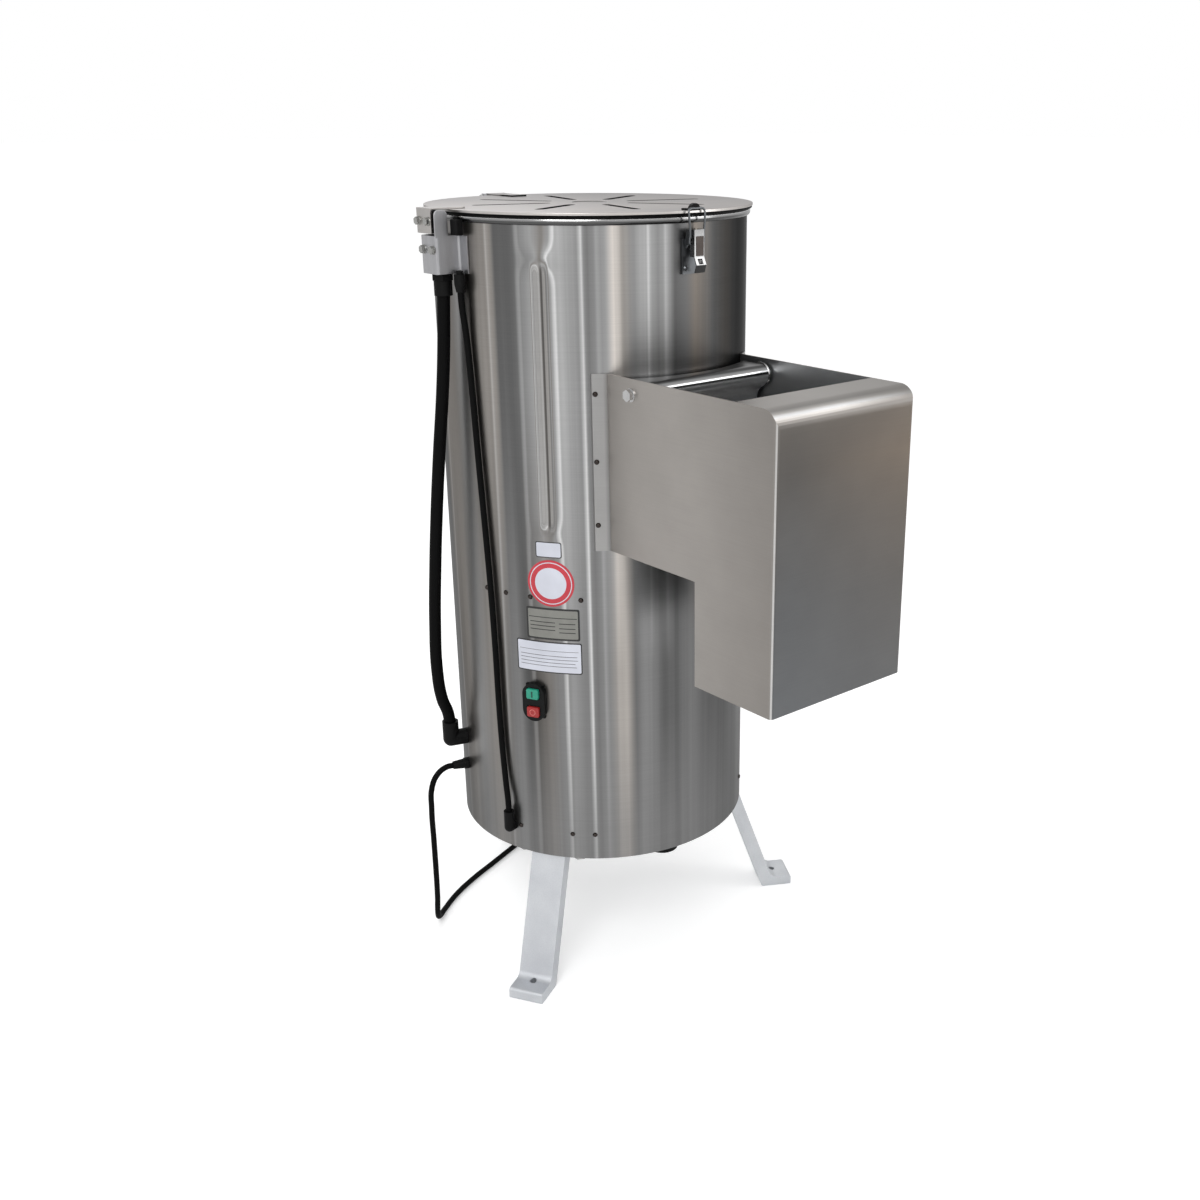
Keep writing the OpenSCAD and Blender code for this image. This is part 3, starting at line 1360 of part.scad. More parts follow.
drum_casing();
chamber_floor();
base_plate();
leg_front_left();
leg_front_right();
leg_rear();
leg_bolts();
casing_screws();
chute_guard();
chute_floor();
guard_screws();
door_rod();
rod_bolts();
door_shell();
door_seal();
door_handle();
lid_plate();
lid_gasket();
lid_hinge_leaf();
lid_hinge_bracket();
lid_hinge_pin();
latch_base();
latch_lever();
latch_bail();
latch_catch();
interlock_bracket();
interlock_sensor();
interlock_screws();
lid_switch();
actuator_bracket();
actuator_magnet();
actuator_screws();
cable_glands();
sensor_conduit();
sensor_cable();
switch_housing();
start_button();
stop_button();
contactor();
abrasive_disc();
abrasive_coating();
main_shaft();
disc_nut();
lip_seal();
bearing_housing();
shaft_bearings();
large_pulley();
drive_belt();
motor_plate();
motor_housing();
motor_rotor();
small_pulley();
drain_pipe();
water_inlet();
label_plates();
power_cord_gland();
power_cord();
power_cord_coil();
power_plug();
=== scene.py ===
import json
import math
from contextlib import contextmanager

import bmesh
import bpy
from mathutils import Matrix, Vector


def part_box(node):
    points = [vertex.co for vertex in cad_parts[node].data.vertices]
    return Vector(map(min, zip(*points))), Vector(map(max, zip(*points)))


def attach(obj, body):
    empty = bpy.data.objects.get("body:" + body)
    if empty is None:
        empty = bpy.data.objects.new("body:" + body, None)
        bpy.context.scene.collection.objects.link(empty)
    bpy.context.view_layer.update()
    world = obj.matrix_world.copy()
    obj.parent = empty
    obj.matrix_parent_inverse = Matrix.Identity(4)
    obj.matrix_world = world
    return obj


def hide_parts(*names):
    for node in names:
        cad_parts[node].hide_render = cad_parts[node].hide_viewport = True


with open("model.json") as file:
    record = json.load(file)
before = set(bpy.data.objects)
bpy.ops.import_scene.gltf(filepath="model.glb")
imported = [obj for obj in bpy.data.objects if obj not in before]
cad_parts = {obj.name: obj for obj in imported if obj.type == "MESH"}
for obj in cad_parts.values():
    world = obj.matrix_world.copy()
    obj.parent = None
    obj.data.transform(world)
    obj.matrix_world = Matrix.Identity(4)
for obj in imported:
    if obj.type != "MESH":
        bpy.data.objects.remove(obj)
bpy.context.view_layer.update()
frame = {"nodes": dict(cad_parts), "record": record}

# An electric potato peeler: drum on three legs, chute with its door, lid with latch and interlock.
# Everything is in metres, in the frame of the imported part: +Z up, chute towards -Y.

NODES = frame["nodes"]
BODY_OF = {node: body for body, nodes in frame["record"]["behaviour"]["bodies"].items() for node in nodes}
SLOT_OF = {part["node"]: part["material_slot"] for part in frame["record"]["subparts"]}
MATERIALS = {}

DRUM_R = 0.200
DRUM_WALL = 0.0015
DRUM_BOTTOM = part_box("drum_casing")[0].z
RIM_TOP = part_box("drum_casing")[1].z
GUARD_LOW, GUARD_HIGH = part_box("chute_guard")
RIB_ANGLES = (-144.5, -35.5, 35.5, 144.5)
RIB_LOW, RIB_HIGH = 0.630, 0.957
SWITCH_ANGLE, SWITCH_Z = -151.8, 0.4035
LATCH_X = -0.003
UP = Vector((0, 0, 1))
WHITE = (1, 1, 1, 1)


# -------- node helpers

def linear(r, g, b):
    """A colour given as it looks on a screen, from 0 to 1, as the shader wants it."""
    return tuple(((c + 0.055) / 1.055) ** 2.4 if c > 0.04045 else c / 12.92 for c in (r, g, b))


def rgba(colour):
    """A grey, or a colour of three numbers, as four numbers."""
    if isinstance(colour, (int, float)):
        colour = (colour, colour, colour)
    return tuple(colour[:3]) + (1.0,)


def fill(tree, node, values):
    """Links an input to a value that is another node's output, and sets it otherwise."""
    for key, value in values.items():
        if isinstance(value, bpy.types.NodeSocket):
            tree.links.new(value, node.inputs[key])
        else:
            node.inputs[key].default_value = value


def add(tree, kind, values=None, **settings):
    """A new node's outputs. Settings go first, because the inputs depend on them."""
    node = tree.nodes.new("ShaderNode" + kind)
    for name, setting in settings.items():
        setattr(node, name, setting)
    fill(tree, node, values or {})
    return node.outputs


def add_ramp(tree, value, stops):
    """A colour ramp. stops: (place from 0 to 1, grey or colour)."""
    node = tree.nodes.new("ShaderNodeValToRGB")
    tree.links.new(value, node.inputs["Fac"])
    elements = node.color_ramp.elements
    while len(elements) > 1:
        elements.remove(elements[-1])
    for i, (place, colour) in enumerate(stops):
        element = elements[0] if i == 0 else elements.new(place)
        element.position = place
        element.color = rgba(colour)
    return node.outputs["Color"]


class Shader:
    """A new material with a few short ways to add nodes to its Principled shader, main."""

    def __init__(self, name, metallic=0.0, roughness=0.4, specular=0.5):
        self.mat = bpy.data.materials.new(name)
        self.mat.use_nodes = True
        self.tree = self.mat.node_tree
        self.main = self.tree.nodes["Principled BSDF"]
        self.to("Metallic", metallic)
        self.to("Roughness", roughness)
        self.to("Specular IOR Level", specular)
        where = self.add("TexCoord")
        self.place, self.facing = where["Object"], where["Normal"]
        MATERIALS[name] = self.mat

    def to(self, socket, value):
        fill(self.tree, self.main, {socket: value})

    def add(self, kind, values=None, **settings):
        return add(self.tree, kind, values, **settings)

    def xyz(self, vector):
        return self.add("SeparateXYZ", {0: vector})

    def mapped(self, scale):
        return self.add("Mapping", {"Vector": self.place, "Scale": scale})[0]

    def noise(self, scale, vector=None, detail=3.0, rough=0.5):
        values = {"Vector": vector or self.place, "Scale": scale, "Detail": detail, "Roughness": rough}
        return self.add("TexNoise", values)["Fac"]

    def grain(self, scale):
        """Fine lines, long where the scale is small."""
        return self.noise(1.0, self.mapped(scale), detail=3.0, rough=0.6)

    def ramp(self, value, stops):
        return add_ramp(self.tree, value, stops)

    def span(self, value, low, high, start=0.0, end=1.0):
        """value from start to end, turned into low to high."""
        values = {"Value": value, "From Min": start, "From Max": end, "To Min": low, "To Max": high}
        return self.add("MapRange", values)["Result"]

    def math(self, kind, *values):
        return self.add("Math", dict(enumerate(values)), operation=kind)[0]

    def product(self, first, *others):
        for other in others:
            first = self.math("MULTIPLY", first, other)
        return first

    def blend(self, a, b, share):
        """This share of a and the rest of b."""
        return self.math("ADD", self.product(a, share), self.product(b, 1 - share))

    def mix(self, fac, a, b, kind="MIX"):
        a, b = (rgba(colour) if isinstance(colour, tuple) else colour for colour in (a, b))
        return self.add("Mix", {0: fac, 6: a, 7: b}, data_type="RGBA", blend_type=kind)[2]

    def rough(self, value, low, high):
        self.to("Roughness", self.span(value, low, high))

    def times(self, a, b):
        return self.mix(1.0, a, b, "MULTIPLY")

    def bump(self, height, distance, strength):
        values = {"Height": height, "Distance": distance, "Strength": strength}
        self.to("Normal", self.add("Bump", values)[0])


# -------- camera, light, floor

CAMERA_PLACE = (-1.0849, -1.4466, 1.1159)
CAMERA_RIGHT = Vector((0.7550, -0.6557, 0.0))
CAMERA_AHEAD = Vector((0.6155, 0.7087, -0.3450)).normalized()


def make_camera():
    data = bpy.data.cameras.new("camera")
    data.lens = 40.94
    data.sensor_width = 36.0
    data.shift_x = -0.0762
    data.shift_y = 0.0120
    data.clip_end = 200.0
    camera = in_scene("camera", data)
    camera.location = CAMERA_PLACE
    axes = Matrix((CAMERA_RIGHT, CAMERA_RIGHT.cross(CAMERA_AHEAD), -CAMERA_AHEAD)).transposed()
    camera.matrix_world = Matrix.Translation(camera.location) @ axes.to_4x4()
    bpy.context.scene.camera = camera


def area_light(name, place, target, size, power):
    data = bpy.data.lights.new(name, "AREA")
    data.shape = "RECTANGLE"
    data.size, data.size_y = size
    data.energy = power
    lamp = in_scene(name, data)
    lamp.location = place
    lamp.rotation_euler = (Vector(target) - Vector(place)).to_track_quat("-Z", "Y").to_euler()


def make_lights():
    area_light("key", (-1.9, -1.5, 2.3), (0, -0.1, 0.6), (1.4, 1.4), 34)
    area_light("fill", (2.0, -2.2, 1.5), (0, -0.2, 0.6), (1.2, 2.0), 16)
    area_light("back", (0.6, 2.4, 2.4), (0, 0, 0.7), (2.0, 1.2), 14)


# Brightness of the studio round the object, by compass direction from -180 to 180 degrees
STUDIO_PANELS = [
    (0.00, 0.80), (0.08, 0.92), (0.14, 0.60), (0.20, 0.82), (0.26, 0.92), (0.33, 0.60), (0.38, 0.82),
    (0.46, 0.85), (0.55, 0.60), (0.60, 0.55), (0.64, 0.75), (0.69, 0.98), (0.80, 0.90), (0.88, 0.70),
    (1.00, 0.80)
]


def make_world():
    """White all round for the eye; metal sees the same studio with grey gaps between its panels."""
    world = bpy.data.worlds.new("studio")
    world.use_nodes = True
    bpy.context.scene.world = world
    tree = world.node_tree
    tree.nodes.clear()
    toward = add(tree, "SeparateXYZ", {0: add(tree, "TexCoord")["Generated"]})
    turn = add(tree, "Math", {0: toward["Y"], 1: toward["X"]}, operation="ARCTAN2")[0]
    turn = add(tree, "Math", {0: turn, 1: 1 / math.tau, 2: 0.5}, operation="MULTIPLY_ADD")[0]
    plain = add(tree, "Background", {"Color": WHITE, "Strength": 0.80})[0]
    glossy = add(tree, "Background", {"Color": add_ramp(tree, turn, STUDIO_PANELS), "Strength": 1.0})[0]
    backdrop = add(tree, "Background", {"Color": WHITE, "Strength": 1.0})[0]
    ray = add(tree, "LightPath")
    light = add(tree, "MixShader", {0: ray["Is Glossy Ray"], 1: plain, 2: glossy})[0]
    whole = add(tree, "MixShader", {0: ray["Is Camera Ray"], 1: light, 2: backdrop})[0]
    add(tree, "OutputWorld", {"Surface": whole})


FLOOR_HALF = 60.0
FLOOR_Z = -0.0004


def make_floor():
    """A pale floor that glows for the eye alone: it turns white and keeps the shadow."""
    signs = ((-1, -1), (1, -1), (1, 1), (-1, 1))
    corners = [(x * FLOOR_HALF, y * FLOOR_HALF, FLOOR_Z) for x, y in signs]
    floor = piece_from("floor", corners, [[0, 1, 2, 3]])
    s = Shader("floor", roughness=0.9, specular=0.1)
    s.to("Base Color", (0.90, 0.90, 0.90, 1))
    s.to("Emission Color", WHITE)
    s.to("Emission Strength", s.math("MULTIPLY", s.add("LightPath")["Is Camera Ray"], 0.30))
    floor.data.materials.append(s.mat)


# -------- steel

def seen(grey, warmth=0.0, light=0.62):
    """The metal colour that shows as this grey, warmer or cooler, where the room is this bright."""
    r, g, b = linear(grey * (1 + 0.03 * warmth), grey, grey * (1 - 0.03 * warmth))
    return (min(r / light, 1), min(g / light, 1), min(b / light, 1))


def greys(stops, light=0.62):
    """Stops for a ramp. stops: (place from 0 to 1, grey, warmth)."""
    return [(place, seen(grey, warmth, light)) for place, grey, warmth in stops]


def painted_band_stops(painted_bands, light):
    """Stops for a ramp of painted reflections, given as (direction from -180 to 0 degrees, grey, warmth).
    """
    return greys([(-angle / 180, grey, warmth) for angle, grey, warmth in reversed(painted_bands)], light)


def painted_highlight_stops(lines):
    """Stops for a ramp that adds thin painted highlight lines. lines: (direction, half width, how much they
    add).
    """
    stops = [(0.0, 0.0)]
    for angle, half, extra in reversed(lines):
        stops += [((half - angle) / 180 + d * half / 180, e) for d, e in ((-2, 0.0), (-1, extra), (0, 0.0))]
    return stops


# Painted reflections: how bright the drum's wall shows, and how warm, by its direction in plan. The chute
# is at -90 degrees, and the far side is the mirror image of this one.
UPPER_PAINTED_REFLECTIONS = [
    (-180, 0.54, 0), (-174, 0.44, 1), (-168, 0.52, 1), (-163, 0.52, 1), (-161, 0.36, 0), (-154, 0.37, 0),
    (-151, 0.50, 0), (-147, 0.58, 0), (-143, 0.45, 1), (-141, 0.56, 0), (-138, 0.64, 0), (-134, 0.55, 0),
    (-132, 0.53, 0), (-128, 0.42, 0), (-122, 0.60, 0), (-119.6, 0.78, 1), (-118, 0.70, 1),
    (-116.5, 0.58, 1), (-113, 0.55, 0), (-109, 0.62, 0), (-106, 0.60, 0), (-104, 0.53, 0),
    (-101, 0.62, 0), (-97.5, 0.37, 0), (-93, 0.36, 0), (-89, 0.34, 2), (-80, 0.30, 0), (-72, 0.27, 1),
    (-66, 0.24, 0), (-56, 0.21, 0), (-40, 0.34, 0), (0, 0.54, 0)
]
LOWER_PAINTED_REFLECTIONS = [
    (-180, 0.58, 0), (-172, 0.52, 1), (-166, 0.46, 1), (-161, 0.46, 0), (-158, 0.46, 0),
    (-154.5, 0.31, 0), (-150, 0.36, 1), (-146, 0.44, 1), (-142, 0.48, 0), (-136.5, 0.56, 0),
    (-133, 0.50, 0), (-128, 0.45, 0), (-123.5, 0.51, 0), (-120, 0.60, 1), (-117.4, 0.65, 1),
    (-114, 0.42, 0), (-110, 0.50, 0), (-107, 0.49, 0), (-103, 0.35, 0), (-98, 0.38, 0), (-91, 0.45, 0),
    (-81, 0.36, 0), (-70, 0.40, 0), (-56, 0.56, 0), (-30, 0.60, 0), (0, 0.54, 0)
]
UPPER_LIGHT, LOWER_LIGHT = 0.72, 0.92
# Thin painted highlight lines on the drum: (direction, half width, how much they add)
THIN_PAINTED_HIGHLIGHTS = [
    (-164.4, 0.8, 0.22), (-152.2, 0.8, 0.16), (-139.4, 0.9, 0.45), (-130.2, 0.9, 0.50),
    (-125.0, 0.8, 0.08)
]
UPPER_PAINTED_HIGHLIGHTS = [(-107.4, 0.8, 0.42), (-101.2, 0.9, 0.12), (-46.0, 0.9, 0.16)]


def drum_painted_reflections(s, height):
    """Painted reflections in upright stripes by the direction that the wall faces: one set low, one high,
    softer at the foot.
    """
    facing = s.xyz(s.facing)
    around = s.math("ARCTAN2", facing["Y"], facing["X"])
    turn = s.product(s.math("ABSOLUTE", around), 1 / math.pi)
    upper = s.ramp(turn, painted_band_stops(UPPER_PAINTED_REFLECTIONS, UPPER_LIGHT))
    lower = s.ramp(turn, painted_band_stops(LOWER_PAINTED_REFLECTIONS, LOWER_LIGHT))
    share = s.span(height, 0, 1, 0.45, 0.80)
    painted_bands = s.mix(1.0, s.mix(share, lower, upper), s.ramp(turn, painted_highlight_stops(THIN_PAINTED_HIGHLIGHTS)), "ADD")
    painted_bands = s.mix(share, painted_bands, s.ramp(turn, painted_highlight_stops(UPPER_PAINTED_HIGHLIGHTS)), "ADD")
    return s.mix(s.span(height, 0.55, 0.0, 0.21, 0.38), painted_bands, seen(0.50, 0.0, LOWER_LIGHT))


def rib_shade(s, place, painted_bands):
    """An even painted grey over the pressed ribs at 144.5 degrees either side, and painted dark shade along
    the middle of the one on the chute's side.
    """
    around = s.math("ABSOLUTE", s.math("ARCTAN2", place["Y"], place["X"]))

    def off(degrees):
        return s.math("ABSOLUTE", s.math("SUBTRACT", around, math.radians(degrees)))

    by_rib = s.span(off(144.5), 1, 0, 0.030, 0.056)
    painted_crease_shade = s.product(s.span(off(144.0), 1, 0, 0.004, 0.012), s.span(place["Y"], 1, 0, -0.01, 0.0))
    low_end = s.span(place["Z"], 0, 1, RIB_LOW, RIB_LOW + 0.01)
    high_end = s.span(place["Z"], 1, 0, RIB_HIGH - 0.01, RIB_HIGH)
    ends = s.product(low_end, high_end)
    painted_bands = s.mix(s.product(by_rib, ends, 0.7), painted_bands, seen(0.54, 0.4))
    return s.mix(s.product(painted_crease_shade, ends, 0.8), painted_bands, seen(0.22, 1.5))


def drum_steel():
    """Brushed round the drum, with upright painted reflections that bend at the pressed ribs."""
    s = Shader("drum_steel", metallic=1.0)
    place = s.xyz(s.place)
    painted_bands = rib_shade(s, place, drum_painted_reflections(s, place["Z"]))
    streaks = s.ramp(s.grain((75.0, 75.0, 0.5)), [(0.30, 0.86), (0.70, 1.12)])
    lines = s.grain((9.0, 9.0, 1300.0))
    s.to("Base Color", s.times(s.times(painted_bands, streaks), s.ramp(lines, [(0.25, 0.95), (0.75, 1.04)])))
    s.rough(lines, 0.29, 0.37)
    s.to("Specular Tint", rgba(0.45))
    s.bump(lines, 0.00003, 0.15)


# Painted shade and highlights on the guard: by height, and on its top fold a painted highlight by how far
# it faces up
GUARD_LIGHT, FRONT_LIGHT = 0.75, 0.93
GUARD_SIDE = [(0, 0.55, 0.9), (0.5, 0.575, 0.9), (1, 0.59, 0.9)]
FRONT_LEFT = [
    (0, 0.42, -0.6), (0.35, 0.39, -0.3), (0.60, 0.38, 0.3), (0.80, 0.355, 1), (0.92, 0.37, 1.3),
    (1, 0.42, 1.3)
]
FRONT_RIGHT = [
    (0, 0.40, 0), (0.35, 0.385, 1), (0.60, 0.40, 2.2), (0.80, 0.44, 3.2), (0.92, 0.42, 2.6),
    (1, 0.42, 2.0)
]
FOLD_LEFT = [
    (0, 0.36, 1), (0.38, 0.40, 1), (0.52, 0.62, 0.8), (0.66, 0.84, 0.3), (0.76, 0.62, 0.6),
    (0.88, 0.50, 0.6), (1, 0.55, 0.8)
]
FOLD_RIGHT = [(0, 0.38, 1), (0.55, 0.36, 1), (0.80, 0.42, 0.8), (1, 0.50, 0.8)]


def guard_front(s, facing, place, height):
    """Painted shade on the front panel and a painted highlight along its top fold, each from left to right.
    """
    left = s.ramp(height, greys(FRONT_LEFT, FRONT_LIGHT))
    right = s.ramp(height, greys(FRONT_RIGHT, FRONT_LIGHT))
    panel = s.mix(s.span(place["X"], 0, 1, -0.08, 0.12), left, right)
    fold_highlight = s.ramp(facing["Z"], greys(FOLD_LEFT))
    fold_faint_highlight = s.ramp(facing["Z"], greys(FOLD_RIGHT))
    fold = s.mix(s.span(place["X"], 0.0, 0.8, -0.01, 0.10), fold_highlight, fold_faint_highlight)
    return s.mix(s.span(facing["Z"], 0, 1, 0.02, 0.25), panel, fold)


def guard_sheet(s):
    """Painted light and shade: a lighter side, darker towards its front edge, a darker browner front,
    painted highlights along the corners between them; plain inside and on flanges.
    """
    facing, place = s.xyz(s.facing), s.xyz(s.place)
    height = s.span(place["Z"], 0, 1, GUARD_LOW.z, GUARD_HIGH.z)
    side = s.ramp(height, greys(GUARD_SIDE, GUARD_LIGHT))
    side = s.mix(s.span(place["Y"], 0.75, 0.0, -0.457, -0.300), side, seen(0.46, 1.1, GUARD_LIGHT))
    across = s.math("ABSOLUTE", facing["X"])
    whole = s.mix(s.span(across, 0, 1, 0.75, 0.95), guard_front(s, facing, place, height), side)
    # Painted highlight along the rounded corners between side and front, fading towards the back.
    corner = s.product(s.span(across, 0, 1, 0.45, 0.60), s.span(across, 1, 0, 0.78, 0.90))
    ahead = s.span(place["Y"], 1, 0, -0.448, -0.360)
    whole = s.mix(s.product(corner, ahead, 0.7), whole, seen(0.72, 0.3))
    inward = s.span(s.product(facing["X"], place["X"]), 1, 0, -0.09, -0.02)
    whole = s.mix(inward, whole, seen(0.53, -0.3))
    flange = s.span(place["Y"], 0, 1, -0.173, -0.168)
    return s.mix(flange, whole, seen(0.56, 0.2, GUARD_LIGHT))


def guard_steel():
    """Fine-ground sheet over the guard's painted shade and highlights."""
    s = Shader("guard_steel", metallic=1.0)
    grain = s.grain((14.0, 14.0, 900.0))
    soft = s.ramp(s.blend(grain, s.noise(16.0), 0.4), [(0.30, 0.93), (0.70, 1.06)])
    s.to("Base Color", s.times(guard_sheet(s), soft))
    s.rough(grain, 0.34, 0.44)
    s.bump(grain, 0.00004, 0.2)


def lid_steel():
    """Brushed sheet: a paler painted reflection near the chute, plain underneath, painted black shade on
    the walls inside the slots.
    """
    s = Shader("lid_steel", metallic=1.0)
    facing, place = s.xyz(s.facing), s.xyz(s.place)
    grain = s.grain((700.0, 10.0, 10.0))
    soft = s.blend(grain, s.noise(7.0, detail=2.0), 0.3)
    # Painted reflection: paler on the chute's side of the lid, greyer away from it.
    near = s.ramp(soft, greys([(0.30, 0.70, 0.4), (0.70, 0.75, 0.8)], 0.75))
    far = s.ramp(soft, greys([(0.30, 0.55, 0.2), (0.70, 0.60, 0.6)], 0.75))
    sheet = s.mix(s.span(place["Y"], 0, 1, -0.10, 0.16), near, far)
    sheet = s.mix(s.span(facing["Z"], 1, 0, -0.8, -0.4), sheet, seen(0.46, 0.2, 0.75))
    out = s.add("VectorMath", {0: s.mapped((1.0, 1.0, 0.0))}, operation="LENGTH")["Value"]
    inside = s.span(out, 1, 0, 0.180, 0.190)
    wall = s.span(s.math("ABSOLUTE", facing["Z"]), 1, 0, 0.35, 0.85)
    # Painted black shade on the slot walls.
    s.to("Base Color", s.mix(s.product(inside, wall), sheet, (0.006, 0.006, 0.006)))
    s.rough(grain, 0.26, 0.36)
    s.to("Specular Tint", (0.60, 0.59, 0.60, 1.0))
    s.bump(grain, 0.00003, 0.2)


# Painted light and shade by tilt: (how far it faces up, from 0 straight down to 1 straight up, grey)
DOOR_PAINTED_SHADING = [
    (0, 0.80), (0.50, 0.80), (0.58, 0.22), (0.61, 0.07), (0.67, 0.07), (0.70, 0.80),
    (0.735, 0.80), (0.755, 0.50), (0.85, 0.46), (0.90, 0.28), (0.96, 0.28), (0.985, 0.44), (1, 0.44)
]
LEVER_PAINTED_SHADING = [(0, 0.16), (0.44, 0.20), (0.49, 0.36), (0.54, 0.52), (1, 0.64)]
RIM_PAINTED_SHADING = [
    (0, 0.22), (0.44, 0.28), (0.52, 0.46), (0.64, 0.52), (0.73, 0.80), (0.83, 0.80), (1, 0.55)
]


def painted_shading_by_tilt(s, shades):
    # A ramp of painted highlight and shade by how far the surface faces up.
    up = s.math("MULTIPLY_ADD", s.xyz(s.facing)["Z"], 0.5, 0.5)
    return s.ramp(up, [(place, seen(grey)) for place, grey in shades])


def door_steel():
    """Painted shade of the guard, a painted black shade under the roll, a narrow painted highlight along
    the rolled edge, and a brighter front that makes up for the guard's shade.
    """
    s = Shader("door_steel", metallic=1.0)
    grain = s.grain((9.0, 9.0, 900.0))
    s.to("Base Color", s.times(painted_shading_by_tilt(s, DOOR_PAINTED_SHADING), s.ramp(grain, [(0.3, 0.97), (0.7, 1.02)])))
    s.rough(grain, 0.26, 0.34)
    s.bump(grain, 0.00002, 0.08)


def lever_steel():
    """Painted highlight where the lever faces out or up, painted shade where it turns under."""
    s = Shader("lever_steel", metallic=1.0)
    s.to("Base Color", painted_shading_by_tilt(s, LEVER_PAINTED_SHADING))
    s.rough(s.noise(500.0), 0.20, 0.30)


def rim_steel():
    """Painted highlight above, where the rim faces the room, and painted grey shade below."""
    s = Shader("rim_steel", metallic=1.0)
    scratch = s.noise(1.0, s.mapped((40.0, 40.0, 400.0)))
    s.to("Base Color", s.times(painted_shading_by_tilt(s, RIM_PAINTED_SHADING), s.ramp(scratch, [(0.3, 0.95), (0.7, 1.0)])))
    s.rough(scratch, 0.16, 0.26)


def bracket_steel():
    """Brushed upright."""
    s = Shader("bracket_steel", metallic=1.0)
    lines = s.noise(1.0, s.mapped((300.0, 300.0, 20.0)), detail=4.0, rough=0.65)
    dark, light = linear(0.65, 0.65, 0.66), linear(0.75, 0.75, 0.76)
    s.to("Base Color", s.ramp(s.blend(lines, s.noise(5.0, detail=2.0), 0.5), [(0.30, dark), (0.70, light)]))
    s.rough(lines, 0.30, 0.42)
    s.bump(lines, 0.00012, 0.35)


# -------- other materials

# name: (colour as it looks on a screen, roughness)
BRIGHT_METALS = {
    "bright_steel": ((0.82, 0.82, 0.82), 0.18),
    "fasteners": ((0.70, 0.70, 0.69), 0.24),
    "dark_steel": ((0.26, 0.24, 0.23), 0.22),
    "pulley_iron": ((0.42, 0.43, 0.44), 0.32),
    "rotor_steel": ((0.66, 0.64, 0.60), 0.30),
    "inlet_brass": ((0.74, 0.68, 0.52), 0.26),
    "label_silver": ((0.56, 0.56, 0.54), 0.35),
}
# name: (light colour, dark colour)
CASTINGS = {
    "leg_casting": ((0.86, 0.87, 0.88), (0.76, 0.77, 0.79)),
    "disc_casting": ((0.74, 0.74, 0.74), (0.64, 0.64, 0.64)),
    "housing_casting": ((0.56, 0.58, 0.59), (0.48, 0.50, 0.51)),
}
# name: (light colour, dark colour, roughness)
PAINTS = {
    "base_steel": ((0.52, 0.53, 0.54), (0.46, 0.47, 0.48), 0.42),
    "motor_paint": ((0.34, 0.38, 0.42), (0.28, 0.32, 0.36), 0.40),
}
# name: (colour, roughness), then the grain's scale, its depth and the specular level where they differ
FILM = (500.0, 0.00003)
PLASTICS = {
    "black_rubber": ((0.02, 0.02, 0.022), 0.60, 1100.0, 0.0001, 0.08),
    "black_plastic": ((0.03, 0.03, 0.032), 0.55, 1400.0, 0.00008, 0.14),
    "switch_plastic": ((0.04, 0.05, 0.05), 0.40, 1400.0, 0.00006, 0.16),
    "start_green": ((0.12, 0.56, 0.46), 0.32),
    "stop_red": ((0.62, 0.13, 0.13), 0.32),
    "mark_dark": ((0.04, 0.20, 0.17), 0.40),
    "mark_pale": ((0.80, 0.42, 0.40), 0.40),
    "contactor_plastic": ((0.82, 0.82, 0.79), 0.45),
    "label_film": ((0.80, 0.81, 0.85), 0.40, *FILM),
    "label_black": ((0.14, 0.14, 0.14), 0.40, *FILM),
    "label_grey": ((0.42, 0.42, 0.43), 0.40, *FILM),
    "label_red": ((0.74, 0.20, 0.25), 0.35, *FILM),
}


def dimmed(colour, share):
    return tuple(c * share for c in linear(*colour))


def bright_metal(name, colour, roughness):
    s = Shader(name, metallic=1.0)
    s.to("Base Color", s.ramp(s.noise(60.0), [(0.3, dimmed(colour, 0.86)), (0.7, linear(*colour))]))
    s.rough(s.noise(220.0, detail=2.0), roughness * 0.8, roughness * 1.4)
    s.bump(s.noise(500.0, detail=2.0), 0.00004, 0.25)


def cast_alloy(name, light, dark):
    """Sand-cast and blasted aluminium: a dull sheen over a fine pitted skin."""
    s = Shader(name, metallic=0.85)
    pits = s.noise(700.0, detail=4.0, rough=0.6)
    soft = s.blend(pits, s.noise(14.0), 0.35)
    s.to("Base Color", s.ramp(soft, [(0.32, linear(*dark)), (0.66, linear(*light))]))
    s.rough(pits, 0.38, 0.58)
    s.bump(pits, 0.0003, 0.35)


def paint(name, light, dark, roughness):
    """Paint with a fine orange peel."""
    s = Shader(name, roughness=roughness)
    peel = s.noise(900.0, detail=2.0)
    s.to("Base Color", s.ramp(s.noise(9.0, detail=2.0), [(0.3, linear(*dark)), (0.7, linear(*light))]))
    s.rough(peel, roughness * 0.85, roughness * 1.15)
    s.bump(peel, 0.0001, 0.3)


def plastic(name, colour, roughness, scale=1400.0, depth=0.00008, specular=0.5):
    s = Shader(name, roughness=roughness, specular=specular)
    leather = s.noise(scale, detail=2.0)
    s.to("Base Color", s.ramp(s.noise(25.0), [(0.3, dimmed(colour, 0.85)), (0.7, linear(*colour))]))
    s.rough(leather, roughness * 0.85, roughness * 1.2)
    s.bump(leather, depth, 0.3)


def abrasive():
    """Coarse silicon carbide bonded to the disc."""
    s = Shader("abrasive", roughness=0.8, specular=0.3)
    grit = s.add("TexVoronoi", {"Vector": s.place, "Scale": 420.0})["Distance"]
    s.to("Base Color", s.ramp(grit, [(0.0, (0.22, 0.20, 0.19)), (0.6, (0.06, 0.055, 0.05))]))
    s.bump(grit, 0.0012, 0.9)


